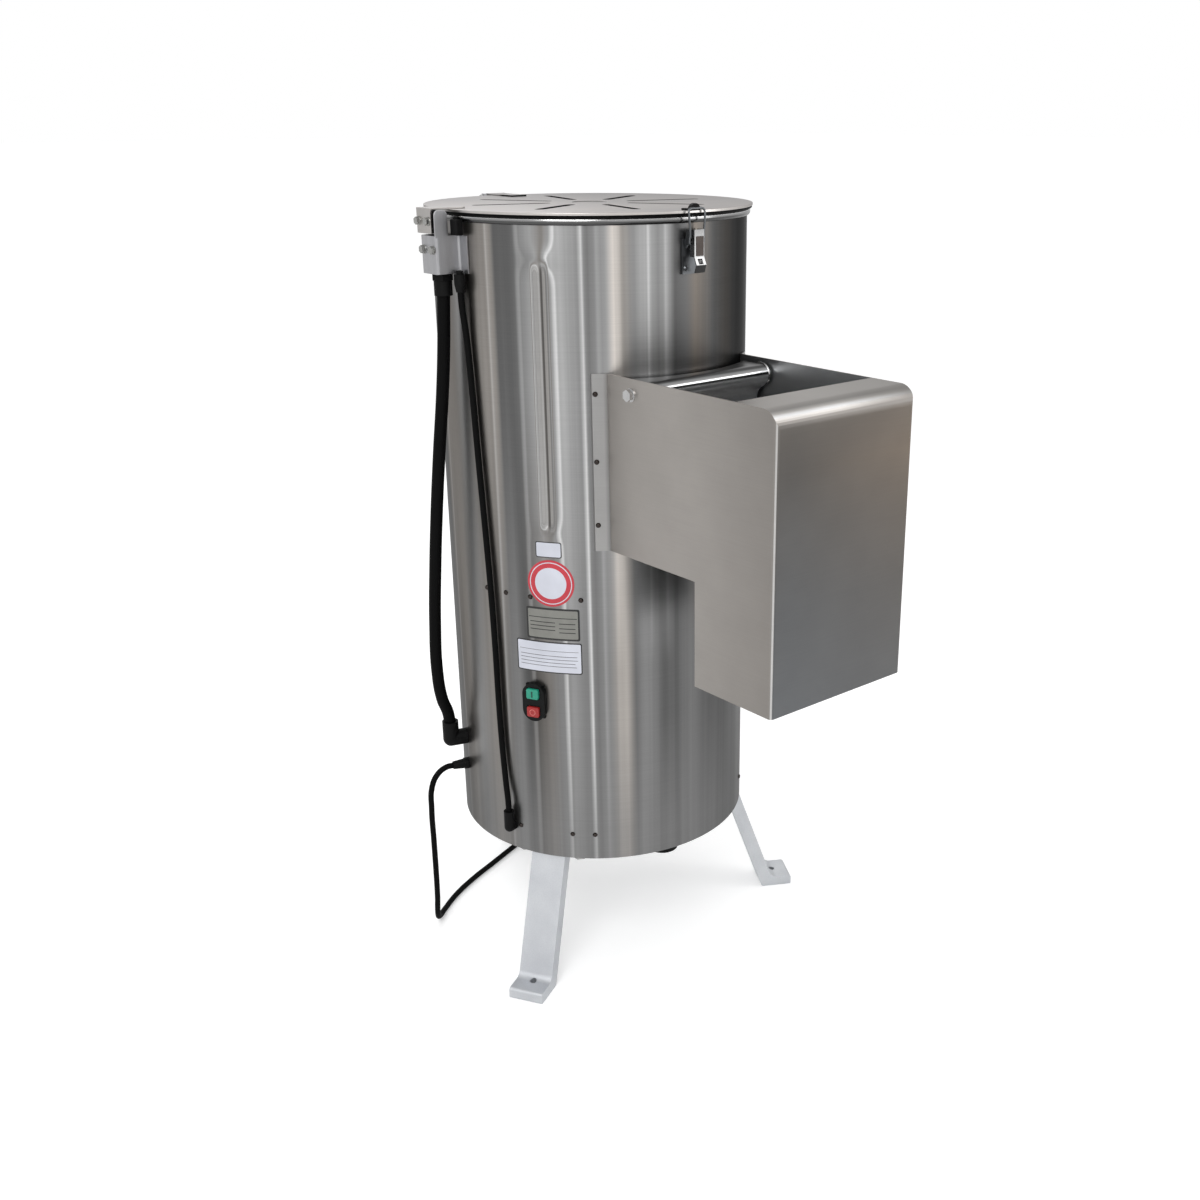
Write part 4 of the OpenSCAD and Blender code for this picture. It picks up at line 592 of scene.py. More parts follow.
def make_materials():
    for make in (drum_steel, lid_steel, guard_steel, door_steel):
        make()
    for make in (lever_steel, rim_steel, bracket_steel, abrasive):
        make()
    families = ((bright_metal, BRIGHT_METALS), (cast_alloy, CASTINGS), (paint, PAINTS), (plastic, PLASTICS))
    for make, table in families:
        for name, look in table.items():
            make(name, *look)


# -------- piece helpers

@contextmanager
def editing(piece):
    """The piece's mesh, open for edits, and written back afterwards."""
    bm = bmesh.new()
    bm.from_mesh(piece.data)
    yield bm
    bm.to_mesh(piece.data)
    bm.free()


def in_scene(name, data):
    piece = bpy.data.objects.new(name, data)
    bpy.context.scene.collection.objects.link(piece)
    return piece


def settle(piece, body, slot, *nodes, look=None):
    """Gives a piece its body, its material and the CAD nodes that it stands for."""
    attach(piece, body)
    piece.data.materials.clear()
    piece.data.materials.append(MATERIALS[look or slot])
    if nodes:
        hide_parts(*nodes)
    return piece


def piece_from(name, verts, faces):
    mesh = bpy.data.meshes.new(name)
    mesh.from_pydata([tuple(v) for v in verts], [], faces)
    mesh.validate()
    mesh.update()
    return in_scene(name, mesh)


def outward(name, verts, faces):
    """The same with every face turned outward."""
    piece = piece_from(name, verts, faces)
    with editing(piece) as bm:
        bmesh.ops.recalc_face_normals(bm, faces=bm.faces)
    return piece


def smooth_by_angle(piece, degrees=35):
    piece.data.shade_smooth()
    limit = math.radians(degrees)
    with editing(piece) as bm:
        for edge in bm.edges:
            if len(edge.link_faces) == 2 and edge.calc_face_angle(0) > limit:
                edge.smooth = False


def modified(piece, kind, **settings):
    """Adds a modifier with these settings and applies it."""
    modifier = piece.modifiers.new(kind, kind)
    for name, setting in settings.items():
        setattr(modifier, name, setting)
    bpy.context.view_layer.objects.active = piece
    bpy.ops.object.modifier_apply(modifier=modifier.name)


def bevel(piece, width, segments=3, angle=30):
    modified(piece, "BEVEL", width=width, segments=segments, limit_method="ANGLE",
        angle_limit=math.radians(angle), miter_outer="MITER_ARC")
    smooth_by_angle(piece, 40)
    modified(piece, "WEIGHTED_NORMAL", keep_sharp=True)


def cut(piece, *cutters):
    """Takes the cutters out of the piece and deletes them."""
    for cutter in cutters:
        modified(piece, "BOOLEAN", operation="DIFFERENCE", solver="EXACT", object=cutter)
        bpy.data.objects.remove(cutter)


def joined(name, *pieces):
    """One piece out of several."""
    bm = bmesh.new()
    for piece in pieces:
        bm.from_mesh(piece.data)
        bpy.data.objects.remove(piece)
    mesh = bpy.data.meshes.new(name)
    bm.to_mesh(mesh)
    bm.free()
    return in_scene(name, mesh)


def rounded(node, width, segments=3, look=None):
    """A copy of a CAD node with its edges rounded over, which stands for the node."""
    piece = in_scene(node + "_rounded", NODES[node].data.copy())
    with editing(piece) as bm:
        bmesh.ops.remove_doubles(bm, verts=bm.verts, dist=0.000005)
        bmesh.ops.dissolve_limit(bm, angle_limit=math.radians(0.6), verts=bm.verts, edges=bm.edges)
    bevel(piece, width, segments)
    return settle(piece, BODY_OF[node], SLOT_OF[node], node, look=look)


def flat(u, v, w):
    return (u, v, w)


def facing_front(u, v, w):
    return (u, w, v)


def facing_side(u, v, w):
    return (w, u, v)


def prism(name, outline, place, depth):
    """A flat outline pushed through a depth. place turns (u, v, w) into a point."""
    n = len(outline)
    verts = [place(u, v, w) for w in depth for u, v in outline]
    faces = [list(range(n)), list(range(n, 2 * n))]
    faces += [[i, (i + 1) % n, n + (i + 1) % n, n + i] for i in range(n)]
    return outward(name, verts, faces)


def arcs(points, steps=6):
    """A path through (u, v, radius) points with its corners rounded. A radius of 0 stays sharp."""
    path = []
    n = len(points)
    for i, (u, v, radius) in enumerate(points):
        if radius == 0:
            path.append((u, v))
            continue
        corner = Vector((u, v))
        before = Vector(points[i - 1][:2]) - corner
        after = Vector(points[(i + 1) % n][:2]) - corner
        half = before.angle(after) / 2
        reach = radius / math.tan(half)
        centre = corner + (before.normalized() + after.normalized()).normalized() * radius / math.sin(half)
        start = corner + before.normalized() * reach - centre
        end = corner + after.normalized() * reach - centre
        sweep = start.angle_signed(end)
        for k in range(steps + 1):
            turned = start.copy()
            turned.rotate(Matrix.Rotation(-sweep * k / steps, 2))
            path.append(tuple(centre + turned))
    return path


def circle(count, radius=1.0):
    """Points round a circle, as (u, v)."""
    turns = (math.tau * i / count for i in range(count))
    return [(radius * math.cos(t), radius * math.sin(t)) for t in turns]


def lathe(name, profile, steps, closed=True):
    """Turns a profile of (radius, height) points round the Z axis."""
    n = len(profile)
    verts = [(r * x, r * y, z) for x, y in circle(steps) for r, z in profile]
    faces = []
    for i in range(steps):
        here, there = i * n, (i + 1) % steps * n
        for j in range(n if closed else n - 1):
            k = (j + 1) % n
            faces.append([here + j, there + j, there + k, here + k])
    return outward(name, verts, faces)


def cylinder(radius, low, high, centre=(0, 0), steps=256):
    piece = lathe("cutter", [(radius, low), (radius, high)], steps, closed=False)
    with editing(piece) as bm:
        bmesh.ops.holes_fill(bm, edges=bm.edges)
        bmesh.ops.recalc_face_normals(bm, faces=bm.faces)
        bmesh.ops.translate(bm, vec=(centre[0], centre[1], 0), verts=bm.verts)
    return piece


def along_curve(name, points, radius, body, slot, nodes=(), cyclic=False, look=None):
    """A smooth round wire or cable through the points."""
    data = bpy.data.curves.new(name, "CURVE")
    data.dimensions = "3D"
    data.bevel_depth = 1.0
    data.bevel_resolution = 6
    data.use_fill_caps = True
    data.resolution_u = 8
    spline = data.splines.new("BEZIER")
    spline.bezier_points.add(len(points) - 1)
    for knot, place in zip(spline.bezier_points, points):
        knot.co = place
        knot.radius = radius
        knot.handle_left_type = knot.handle_right_type = "AUTO"
    spline.use_cyclic_u = cyclic
    return settle(in_scene(name, data), body, slot, *nodes, look=look)


def curve_length(piece):
    bare = piece.data.copy()
    bare.bevel_depth = 0.0
    probe = in_scene("probe", bare)
    depsgraph = bpy.context.evaluated_depsgraph_get()
    depsgraph.update()
    mesh = probe.evaluated_get(depsgraph).to_mesh()
    places = [vertex.co for vertex in mesh.vertices]
    total = sum((places[a] - places[b]).length for a, b in (edge.vertices for edge in mesh.edges))
    probe.evaluated_get(depsgraph).to_mesh_clear()
    bpy.data.objects.remove(probe)
    bpy.data.curves.remove(bare)
    return total


def smoothstep(x, low, high):
    t = min(max((x - low) / (high - low), 0.0), 1.0)
    return t * t * (3 - 2 * t)


def steps_between(low, high, size):
    count = max(1, round((high - low) / size))
    return [low + (high - low) * i / count for i in range(count + 1)]


# -------- power cord

CORD_D = 0.008
CORD_ROUTE = [
    (-0.211, 0.0645, 0.262), (-0.222, 0.0679, 0.261), (-0.234, 0.072, 0.252), (-0.242, 0.075, 0.234),
    (-0.244, 0.077, 0.200), (-0.243, 0.079, 0.150), (-0.242, 0.081, 0.100), (-0.241, 0.084, 0.055),
    (-0.239, 0.090, 0.022), (-0.230, 0.102, 0.008), (-0.212, 0.118, 0.0045), (-0.180, 0.140, 0.0045),
    (-0.135, 0.163, 0.0045), (-0.085, 0.183, 0.0045), (-0.030, 0.205, 0.0045), (0.030, 0.228, 0.0045),
    (0.085, 0.247, 0.0045), (0.125, 0.250, 0.0045)
]
COIL_CENTRE = Vector((0.150, 0.193, CORD_D / 2 + 0.0006))
COIL_R = 0.044
COIL_PITCH = 0.0082
COIL_TURNS = 6
COIL_START = math.radians(101)
COIL_KNOTS = 20
PLUG_TAIL = Vector((0.2013, 0.2166, 0.0155))


def coil_point(turns):
    """A point on the coil, which has three layers with an outer and an inner turn each."""
    layer = min(int(turns / 2), 2)
    within = turns - 2 * layer
    shift = min(max(within - 0.9, 0.0) / 0.2, 1.0)
    side = shift if layer % 2 == 0 else 1.0 - shift
    lift = layer * COIL_PITCH
    if within > 1.9 and layer < 2:
        lift += (within - 1.9) / 0.1 * COIL_PITCH * 0.5
    elif within < 0.1 and layer > 0:
        lift -= (0.1 - within) / 0.1 * COIL_PITCH * 0.5
    radius = COIL_R + COIL_PITCH / 2 - side * COIL_PITCH
    angle = COIL_START - math.tau * turns
    return COIL_CENTRE + Vector((radius * math.cos(angle), radius * math.sin(angle), lift))


def make_cord():
    """The route, then the coil, clockwise from above, then a last bend into the plug."""
    points = [Vector(p) for p in CORD_ROUTE]
    points += [coil_point(i / COIL_KNOTS) for i in range(COIL_TURNS * COIL_KNOTS + 1)]
    points += [points[-1].lerp(PLUG_TAIL, 0.5) + Vector((0.004, 0.006, 0.001)), PLUG_TAIL]
    stands_for = ("power_cord", "power_cord_coil")
    cord = along_curve("power_cord_lead", points, CORD_D / 2, "frame", "black_rubber", stands_for)
    length = curve_length(cord)
    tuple(points[0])


# -------- fixed cables

CONDUIT_ROUTE = [
    (-0.217, 0.005, 0.914), (-0.217, 0.007, 0.895), (-0.217, 0.012, 0.850), (-0.219, 0.019, 0.790),
    (-0.223, 0.029, 0.715), (-0.226, 0.040, 0.635), (-0.228, 0.050, 0.555), (-0.229, 0.058, 0.480),
    (-0.228, 0.063, 0.410), (-0.222, 0.065, 0.365), (-0.215, 0.0653, 0.345), (-0.2124, 0.065, 0.328)
]
SENSOR_ROUTE = [
    (-0.208, -0.019, 0.919), (-0.2076, -0.0194, 0.8998), (-0.2052, -0.021, 0.8697),
    (-0.2039, -0.025, 0.8101), (-0.2032, -0.030, 0.7197), (-0.2023, -0.0355, 0.6299),
    (-0.2015, -0.040, 0.545), (-0.201, -0.0425, 0.4648), (-0.2008, -0.0435, 0.395),
    (-0.2003, -0.0456, 0.3299), (-0.2004, -0.0504, 0.2751), (-0.2012, -0.0546, 0.2498),
    (-0.2015, -0.0555, 0.234)
]


CABLES = (("sensor_conduit", CONDUIT_ROUTE, 0.016), ("sensor_cable", SENSOR_ROUTE, 0.008))


def make_cables():
    for node, route, diameter in CABLES:
        points = [Vector(p) for p in route]
        piece = along_curve(node + "_run", points, diameter / 2, "frame", "black_rubber", (node,))
        curve_length(piece)


# -------- drum

RIB_HALF, RIB_DEPTH = 0.0110, 0.0030
OPENING_LOW, OPENING_HIGH = 0.632, 0.785
OPENING_EDGE = math.degrees(math.asin(0.088 / DRUM_R))
SWITCH_EDGE, SWITCH_REACH = 3.01, 0.0202
# Each level of the wall, and the size of the steps from it up to the next
WALL_LEVELS = [
    (DRUM_BOTTOM, 0.025), (SWITCH_Z - SWITCH_REACH, 0.025), (SWITCH_Z + SWITCH_REACH, 0.025),
    (0.615, 0.005), (OPENING_LOW, 0.003), (0.660, 0.025), (OPENING_HIGH, 0.025), (0.890, 0.0032),
    (0.985, 0.010), (RIM_TOP - 0.0025, None)
]


def wall_radius(angle, z):
    """The drum's outer radius: pressed in along the ribs, and swollen round their ends."""
    radius = DRUM_R
    for rib in RIB_ANGLES:
        x = math.radians((angle - rib + 180) % 360 - 180) * DRUM_R
        if abs(x) > 0.05:
            continue
        gate = smoothstep(z, RIB_LOW, RIB_LOW + 0.014) * (1 - smoothstep(z, RIB_HIGH - 0.014, RIB_HIGH))
        radius -= RIB_DEPTH * math.cos(math.pi / 2 * min(abs(x) / RIB_HALF, 1)) ** 2 * gate
        swell = 0.0009 * math.exp(-((z - RIB_HIGH) / 0.014) ** 2)
        swell += 0.0004 * math.exp(-((z - RIB_LOW) / 0.014) ** 2)
        radius += math.exp(-(x / 0.0155) ** 2) * swell
    return radius


def wall_angles():
    """The wall's columns: closer at the ribs, and one along each side of an opening."""
    marks = [rib + side * 9 for rib in RIB_ANGLES for side in (-1, 1)]
    marks += [-90 - OPENING_EDGE, -90 + OPENING_EDGE]
    marks += [SWITCH_ANGLE - SWITCH_EDGE, SWITCH_ANGLE + SWITCH_EDGE]
    marks = [-180.0] + sorted(marks) + [180.0]
    angles = []
    for a, b in zip(marks, marks[1:]):
        by_rib = any(abs((a + b) / 2 - rib) < 8 for rib in RIB_ANGLES)
        angles += steps_between(a, b, 0.35 if by_rib else 1.5)[:-1]
    return angles


def wall_heights():
    heights = []
    for (low, size), (high, _) in zip(WALL_LEVELS, WALL_LEVELS[1:]):
        heights += steps_between(low, high, size)[:-1]
    return heights + [WALL_LEVELS[-1][0]]


def is_open(angle, z):
    """Whether the chute's opening or the switch's is there."""
    at_chute = abs(angle + 90) < OPENING_EDGE and OPENING_LOW - 0.001 < z < OPENING_HIGH + 0.001
    at_switch = abs(angle - SWITCH_ANGLE) < SWITCH_EDGE and abs(z - SWITCH_Z) < SWITCH_REACH
    return at_chute or at_switch


def wall_point(angle, z):
    r = wall_radius(angle, z)
    return (r * math.cos(math.radians(angle)), r * math.sin(math.radians(angle)), z)


def make_drum():
    angles, heights = wall_angles(), wall_heights()
    n = len(angles)
    verts = [wall_point(a, z) for z in heights for a in angles]
    faces = []
    for j, (low, high) in enumerate(zip(heights, heights[1:])):
        for i in range(n):
            k = (i + 1) % n
            if not is_open(angles[i] + 0.1, (low + high) / 2):
                faces.append([j * n + i, j * n + k, (j + 1) * n + k, (j + 1) * n + i])
    drum = piece_from("drum_wall", verts, faces)
    modified(drum, "SOLIDIFY", thickness=DRUM_WALL, offset=-1)
    smooth_by_angle(drum, 50)
    settle(drum, "frame", "drum_steel", "drum_casing")


def make_rim():
    bead = [(0.2013 + 0.00275 * x, RIM_TOP - 0.0034 + 0.0042 * y) for x, y in circle(20)]
    rim = lathe("drum_rim", bead, 240)
    smooth_by_angle(rim)
    settle(rim, "frame", "drum_steel", look="rim_steel")


# -------- legs

FOOT_R, FOOT_TOE, FOOT_T = 0.258, 0.283, 0.015
LEG_T, LEG_W, LEG_LEAN, LEG_TOP = 0.020, 0.048, 0.355, 0.186
FLANGE_LOW = 0.178
BOLT_HOLE_R = 0.0045


def leg_outer(z):
    return FOOT_R - 0.006 + (FOOT_T - z) * LEG_LEAN


def make_bar():
    """The leaning bar with its foot, in side view."""
    side = arcs([(leg_outer(FLANGE_LOW) - LEG_T, FLANGE_LOW + 0.001, 0), (leg_outer(0) - LEG_T, 0, 0.004),
        (FOOT_TOE, 0, 0.0015), (FOOT_TOE, FOOT_T, 0.004), (leg_outer(FOOT_T), FOOT_T, 0.012),
        (leg_outer(LEG_TOP), LEG_TOP, 0), (leg_outer(LEG_TOP) - LEG_T, LEG_TOP, 0)])
    bar = prism("bar", side, facing_front, (-LEG_W / 2, LEG_W / 2))
    cut(bar, cylinder(BOLT_HOLE_R, -0.01, 0.03, (FOOT_R, 0), 32))
    bevel(bar, 0.0035, 4, 40)
    return bar


def make_flange():
    """The plate under the drum's base, in plan."""
    plan = arcs([(0.150, -0.052, 0.006), (0.188, -0.052, 0.006), (0.1965, 0, 0.1), (0.188, 0.052, 0.006),
        (0.150, 0.052, 0.006)])
    flange = prism("flange", plan, flat, (FLANGE_LOW, LEG_TOP))
    bevel(flange, 0.0015, 3)
    return flange


def make_legs():
    for node, angle in (("leg_front_left", -150), ("leg_front_right", -30), ("leg_rear", 90)):
        leg = joined(node + "_casting", make_bar(), make_flange())
        leg.data.transform(Matrix.Rotation(math.radians(angle), 4, "Z"))
        settle(leg, "frame", SLOT_OF[node], node)


# -------- door

DOOR_HALF = 0.1018
DOOR_FRONT = -0.207
DOOR_SHEET = 0.002
ROLL_Y, ROLL_Z, ROLL_R = -0.215, 0.809, 0.013
ROLL = [(ROLL_Y + ROLL_R * math.cos(t), ROLL_Z + ROLL_R * math.sin(t))
    for t in (math.radians(90 + 12 * i) for i in range(1, 12))]
DOOR_PATH = [(-0.150, 0.822), (ROLL_Y, 0.822)] + ROLL + [
    (-0.2195, 0.7953), (-0.2140, 0.7920), (-0.2095, 0.7880), (-0.2075, 0.7820), (DOOR_FRONT, 0.774),
    (DOOR_FRONT, 0.700), (DOOR_FRONT, 0.6215), (-0.2045, 0.619), (-0.150, 0.619)
]


def make_door():
    """The door's sheet: flat in front, S-shaped under the rod, rolled over it and back to the drum."""
    verts = [(x, y, z) for y, z in DOOR_PATH for x in (-DOOR_HALF, DOOR_HALF)]
    faces = [[2 * i, 2 * i + 1, 2 * i + 3, 2 * i + 2] for i in range(len(DOOR_PATH) - 1)]
    sheet = outward("sheet", verts, faces)
    modified(sheet, "SOLIDIFY", thickness=DOOR_SHEET, offset=-1)
    inner = DOOR_HALF - DOOR_SHEET
    sides = [prism("side", DOOR_PATH, facing_side, (s * DOOR_HALF, s * inner)) for s in (-1, 1)]
    for piece in [sheet] + sides:
        cut(piece, cylinder(0.203, 0.600, 0.802), cylinder(0.208, 0.801, 0.900))
    door = joined("door_skin", sheet, *sides)
    bevel(door, 0.0004, 2)
    settle(door, "door", "door_steel", "door_shell")
    # Bright steel beads along the door's side edges over the roll, brighter than the door's own steel: a
    # painted highlight along the edges.
    for side, name in ((-1, "door_edge_left"), (1, "door_edge_right")):
        edge = [Vector((side * DOOR_HALF, y, z)) for y, z in [(-0.208, 0.8222), (-0.212, 0.8224)] + ROLL]
        along_curve(name, edge, 0.0015, "door", "bright_steel")


# -------- lid trim and latch

def make_lid_trim():
    """The black rubber edging that wraps the gasket and the lower part of the lid's rim."""
    profile = [(0.1965, 1.0038), (0.2048, 1.0038), (0.2060, 1.0046), (0.2062, 1.0058), (0.2060, 1.0069),
        (0.1965, 1.0069)]
    trim = lathe("lid_edging", profile, 240)
    smooth_by_angle(trim, 50)
    settle(trim, "lid", "black_rubber", "lid_gasket")


# One side of the latch's wire loop in millimetres, from the lever up to the catch
LOOP_SIDE = [
    (-9.5, -210, 972), (-10.3, -210.8, 984), (-11.6, -211.0, 997), (-12.2, -210.6, 1006),
    (-11.6, -209.8, 1010.6), (-9.5, -209.6, 1012)
]
OTHER_SIDE = [(-x, y, z) for x, y, z in reversed(LOOP_SIDE)]
LOOP = LOOP_SIDE + [(0, -209.6, 1012.3)] + OTHER_SIDE + [(0, -210, 972)]
PANEL = ((-0.0052, 0.9590), (0.0066, 0.9590), (0.0066, 0.9815), (-0.0052, 0.9815))


def make_latch():
    points = [Vector((LATCH_X + x / 1000, y / 1000, z / 1000)) for x, y, z in LOOP]
    along_curve("latch_wire", points, 0.0013, "latch_bail", "bright_steel", ("latch_bail",), cyclic=True,
        look="pulley_iron")
    rounded("latch_lever", 0.0004, look="lever_steel")
    rounded("latch_base", 0.0005, look="pulley_iron")
    rounded("latch_catch", 0.0006, look="black_plastic")
    outline = arcs([(LATCH_X + x, z, 0.001) for x, z in PANEL])
    panel = prism("latch_lever_panel", outline, facing_front, (-0.2153, -0.2149))
    bevel(panel, 0.0001, 2)
    settle(panel, "latch_lever", "bright_steel", look="dark_steel")


# -------- interlock

BOX_LOW, BOX_HIGH = 0.937, 0.981
BOX_SHEET = 0.002


def bent_strip(name, path, low, high, thickness):
    """Sheet metal that stands on edge, bent along a path in plan."""
    n = len(path)
    verts = [(u, v, z) for z in (low, high) for u, v in path]
    strip = piece_from(name, verts, [[i, i + 1, n + i + 1, n + i] for i in range(n - 1)])
    modified(strip, "SOLIDIFY", thickness=thickness, offset=1)
    bevel(strip, 0.0004, 2)
    return strip


def make_interlock():
    """A sheet bent round three sides, with a floor and a standing tongue."""
    tangents = (math.radians(a) for a in (-7.6, -6.4, -5.2))
    on_wall = [(-0.2023 * math.cos(a), 0.2023 * math.sin(a), 0) for a in tangents]
    path = arcs(on_wall + [(-0.2019, -0.0120, 0.003), (-0.2340, -0.0120, 0.004), (-0.2340, 0.0220, 0.004),
        (-0.2016, 0.0220, 0)], 5)
    wrap = bent_strip("wrap", path, BOX_LOW, BOX_HIGH, BOX_SHEET)
    plan = arcs([(-0.2335, -0.0115, 0.003), (-0.2030, -0.0115, 0), (-0.2030, 0.0215, 0),
        (-0.2335, 0.0215, 0.003)])
    bottom = prism("bottom", plan, flat, (BOX_LOW, BOX_LOW + BOX_SHEET))
    bevel(bottom, 0.0004, 2)
    face = arcs([(-0.2338, 0.979, 0), (-0.2160, 0.979, 0), (-0.2160, 1.0100, 0.006),
        (-0.2338, 1.0100, 0.006)])
    tongue = prism("tongue", face, facing_front, (-0.0119, -0.0101))
    bevel(tongue, 0.0006, 3)
    bracket = joined("interlock_box", wrap, bottom, tongue)
    smooth_by_angle(bracket, 40)
    settle(bracket, "frame", "bracket_steel", "interlock_bracket")


# -------- labels and switch

def drum_point(angle, z, u, v, lift):
    """A point on the drum's wall, u along it and v up from (angle, z)."""
    a = math.radians(angle) + u / DRUM_R
    r = DRUM_R + lift
    return (r * math.cos(a), r * math.sin(a), z + v)


def flat_point(angle, z, u, v, lift):
    """The same on the flat face that stands over the wall there."""
    a = math.radians(angle)
    r = DRUM_R + lift
    return (r * math.cos(a) - u * math.sin(a), r * math.sin(a) + u * math.cos(a), z + v)


def patch(name, outline, place, low, high, rings=6):
    """A thin plate with the given outline: a fan of rings above and a rim down to its underside."""
    n = len(outline)
    cu = sum(u for u, v in outline) / n
    cv = sum(v for u, v in outline) / n
    verts = [place(cu, cv, high)]
    for k in range(1, rings + 1):
        t = k / rings
        verts += [place(cu + (u - cu) * t, cv + (v - cv) * t, high) for u, v in outline]
    verts += [place(u, v, low) for u, v in outline]
    faces = [[0, 1 + i, 1 + (i + 1) % n] for i in range(n)]
    for k in range(rings):
        a, b = 1 + k * n, 1 + (k + 1) * n
        faces += [[a + i, b + i, b + (i + 1) % n, a + (i + 1) % n] for i in range(n)]
    piece = piece_from(name, verts, faces)
    smooth_by_angle(piece, 40)
    return piece


def dense(outline, size=0.003):
    """The same outline with points added on its long sides."""
    out = []
    for (u0, v0), (u1, v1) in zip(outline, outline[1:] + outline[:1]):
        count = max(1, int(math.hypot(u1 - u0, v1 - v0) / size))
        out += [(u0 + (u1 - u0) * i / count, v0 + (v1 - v0) * i / count) for i in range(count)]
    return out


def box_outline(u0, u1, v0, v1, radius):
    return dense(arcs([(u0, v0, radius), (u1, v0, radius), (u1, v1, radius), (u0, v1, radius)], 4))


# The ruled lines of a label: (from, to and height in halves of the label, thickness)
WHITE_RULES = [
    (-0.90, 0.90, 0.42, 0.0006), (-0.88, 0.86, 0.10, 0.0008), (-0.88, 0.88, -0.12, 0.0008),
    (-0.88, 0.80, -0.34, 0.0008), (-0.88, 0.84, -0.56, 0.0008)
]
METAL_RULES = [
    (-0.90, 0.90, 0.40, 0.0010), (-0.86, 0.10, 0.10, 0.0011), (-0.86, 0.10, -0.14, 0.0011),
    (-0.86, 0.10, -0.38, 0.0011), (0.24, 0.84, 0.06, 0.0011), (0.24, 0.84, -0.24, 0.0011),
    (0.24, 0.84, -0.50, 0.0011)
]
# The round label's layers: (radius, underside, top, look)
ROUND_LAYERS = [
    (0.0305, 0.00005, 0.0003, "label_red"), (0.0276, 0.0003, 0.00036, "label_film"),
    (0.0264, 0.00036, 0.00042, "label_red"), (0.0205, 0.00042, 0.00048, "label_film")
]
ROUND_ANGLE, ROUND_Z = -144.3, 0.5655


def label(name, angles, heights, border, face_look, rules=(), ink="label_grey"):
    """A label with a border round a blank field, and thin ruled lines across it."""
    middle, z = sum(angles) / 2, sum(heights) / 2
    half_u = math.radians(angles[1] - angles[0]) / 2 * DRUM_R
    half_v = (heights[1] - heights[0]) / 2

    def on_wall(u, v, lift):
        return drum_point(middle, z, u, v, lift)

    plate = patch(name, box_outline(-half_u, half_u, -half_v, half_v, 0.0025), on_wall, 0.00005, 0.0003)
    settle(plate, "frame", "label_film", look="label_black")
    inner_u, inner_v = half_u - border, half_v - border
    inner = box_outline(-inner_u, inner_u, -inner_v, inner_v, 0.0018)
    settle(patch(name + "_field", inner, on_wall, 0.0003, 0.0004), "frame", "label_film", look=face_look)
    for i, (u0, u1, v, width) in enumerate(rules):
        low, high = v * half_v - width / 2, v * half_v + width / 2
        bar = box_outline(u0 * half_u, u1 * half_u, low, high, width / 2.2)
        settle(patch(f"{name}_rule{i}", bar, on_wall, 0.0004, 0.00045, 14), "frame", "label_film", look=ink)
    return plate


def make_labels():
    small = label("label_small", (-149.5, -139.8), (0.599, 0.6195), 0.0012, "label_film")
    label("label_metal", (-154.2, -134), (0.490, 0.5325), 0.0024, "label_silver", METAL_RULES,
        "label_black")
    label("label_white", (-158.8, -133.5), (0.4445, 0.487), 0.0015, "label_film", WHITE_RULES)

    def round_place(u, v, lift):
        return drum_point(ROUND_ANGLE, ROUND_Z, u, v, lift)

    for i, (radius, low, high, look) in enumerate(ROUND_LAYERS):
        disc = patch(f"label_round{i}", circle(64, radius), round_place, low, high)
        settle(disc, "frame", "label_film", look=look)
    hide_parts("label_plates")


BUTTON_TOP = 0.0115
MARK_Z = 0.0125


def make_switch():
    for node, width in (("switch_housing", 0.0016), ("start_button", 0.0014), ("stop_button", 0.0014)):
        rounded(node, width, 4)

    def on_start(u, v, lift):
        return flat_point(SWITCH_ANGLE, SWITCH_Z + MARK_Z, u, v, lift)

    outline = box_outline(-0.0009, 0.0009, -0.0042, 0.0042, 0.0007)
    bar = patch("start_mark", outline, on_start, BUTTON_TOP - 0.0004, BUTTON_TOP + 0.00025, 2)
    settle(bar, "start_button", "start_green", look="mark_dark")
    z = SWITCH_Z - MARK_Z
    ring = [Vector(flat_point(SWITCH_ANGLE, z, u, v, BUTTON_TOP)) for u, v in circle(12, 0.0037)]
    along_curve("stop_mark", ring, 0.0006, "stop_button", "stop_red", cyclic=True, look="mark_pale")


# -------- screws

# Height of each row of casing screws, and their directions
SCREW_ROWS = [
    (0.545, (-172.4, -162.9, -152.4, -133.4, -46.6, 0, 60, 120)),
    (0.214, (-161, -139.2, -130.6, -49.4, -19, 71, 109))
]
SCREW_HEAD = 0.00206
CROSS_SIZE = 0.0018


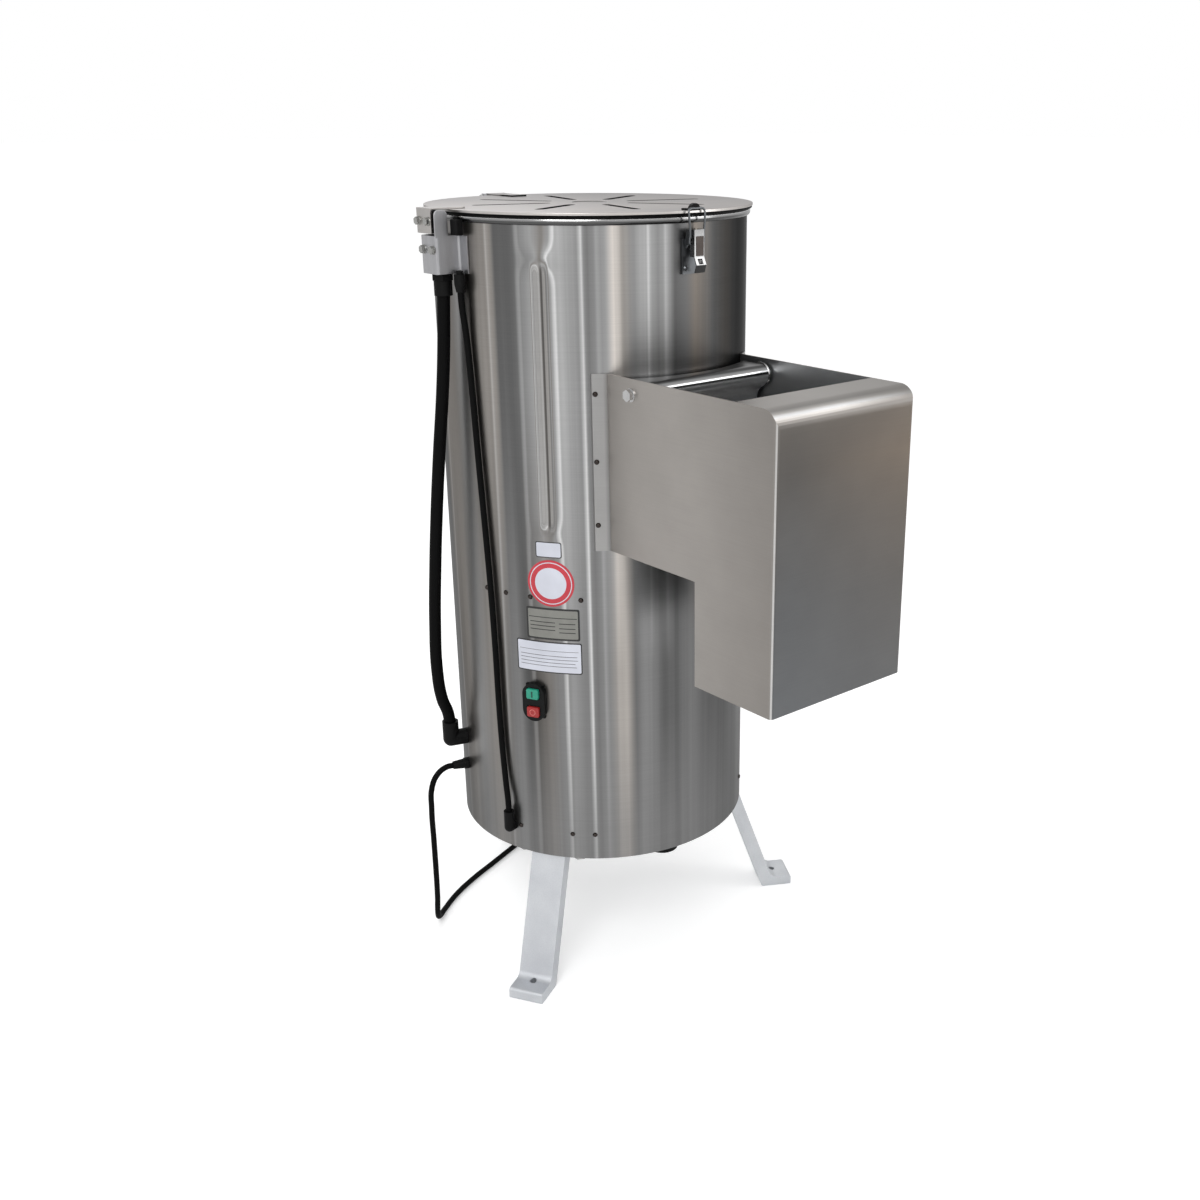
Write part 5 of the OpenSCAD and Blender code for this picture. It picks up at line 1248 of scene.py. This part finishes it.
def cross_points():
    arm, half = CROSS_SIZE, CROSS_SIZE * 0.22
    return [(half, half), (half, arm), (-half, arm), (-half, half), (-arm, half), (-arm, -half),
        (-half, -half), (-half, -arm), (half, -arm), (half, -half), (arm, -half), (arm, half)]


def make_cross_shades():
    """Painted dark shade of the cross recess in each casing screw's head."""
    verts, faces = [], []
    shape = cross_points()
    for z, angles in SCREW_ROWS:
        for a in angles:
            out = Vector((math.cos(math.radians(a)), math.sin(math.radians(a)), 0))
            point = out * (DRUM_R + SCREW_HEAD) + UP * z
            side = out.cross(UP).normalized()
            faces.append([len(verts) + i for i in range(len(shape))])
            verts += [point + side * u + UP * v for u, v in shape]
    settle(piece_from("casing_screw_cross_shades", verts, faces), "frame", "fasteners", look="dark_steel")


# CAD nodes that only get their edges rounded over, by this many tenths of a millimetre
ROUNDED = {
    "lid_plate": 8, "chute_guard": 4, "chute_floor": 4, "guard_screws": 6, "rod_bolts": 6, "door_rod": 6,
    "door_handle": 5, "lid_hinge_leaf": 6, "lid_hinge_bracket": 6, "lid_hinge_pin": 5,
    "interlock_sensor": 10, "interlock_screws": 6, "lid_switch": 12, "actuator_bracket": 8,
    "actuator_magnet": 10, "actuator_screws": 6, "cable_glands": 6, "power_cord_gland": 6, "leg_bolts": 6,
    "casing_screws": 5, "power_plug": 10, "drain_pipe": 8, "water_inlet": 4, "disc_nut": 8,
    "base_plate": 6
}
DARK_SCREWS = ("guard_screws", "casing_screws")


def make_rounded():
    for node, tenths in ROUNDED.items():
        rounded(node, tenths / 10000, look="dark_steel" if node in DARK_SCREWS else None)


# -------- the scene

make_camera()
make_lights()
make_world()
make_floor()
make_materials()
make_cord()
make_cables()
make_drum()
make_rim()
make_legs()
make_door()
make_lid_trim()
make_latch()
make_interlock()
make_labels()
make_switch()
make_cross_shades()
make_rounded()
for node, piece in NODES.items():
    piece.data.materials.clear()
    piece.data.materials.append(MATERIALS[SLOT_OF[node]])

bpy.context.scene.view_settings.view_transform = "Standard"
bpy.context.view_layer.update()
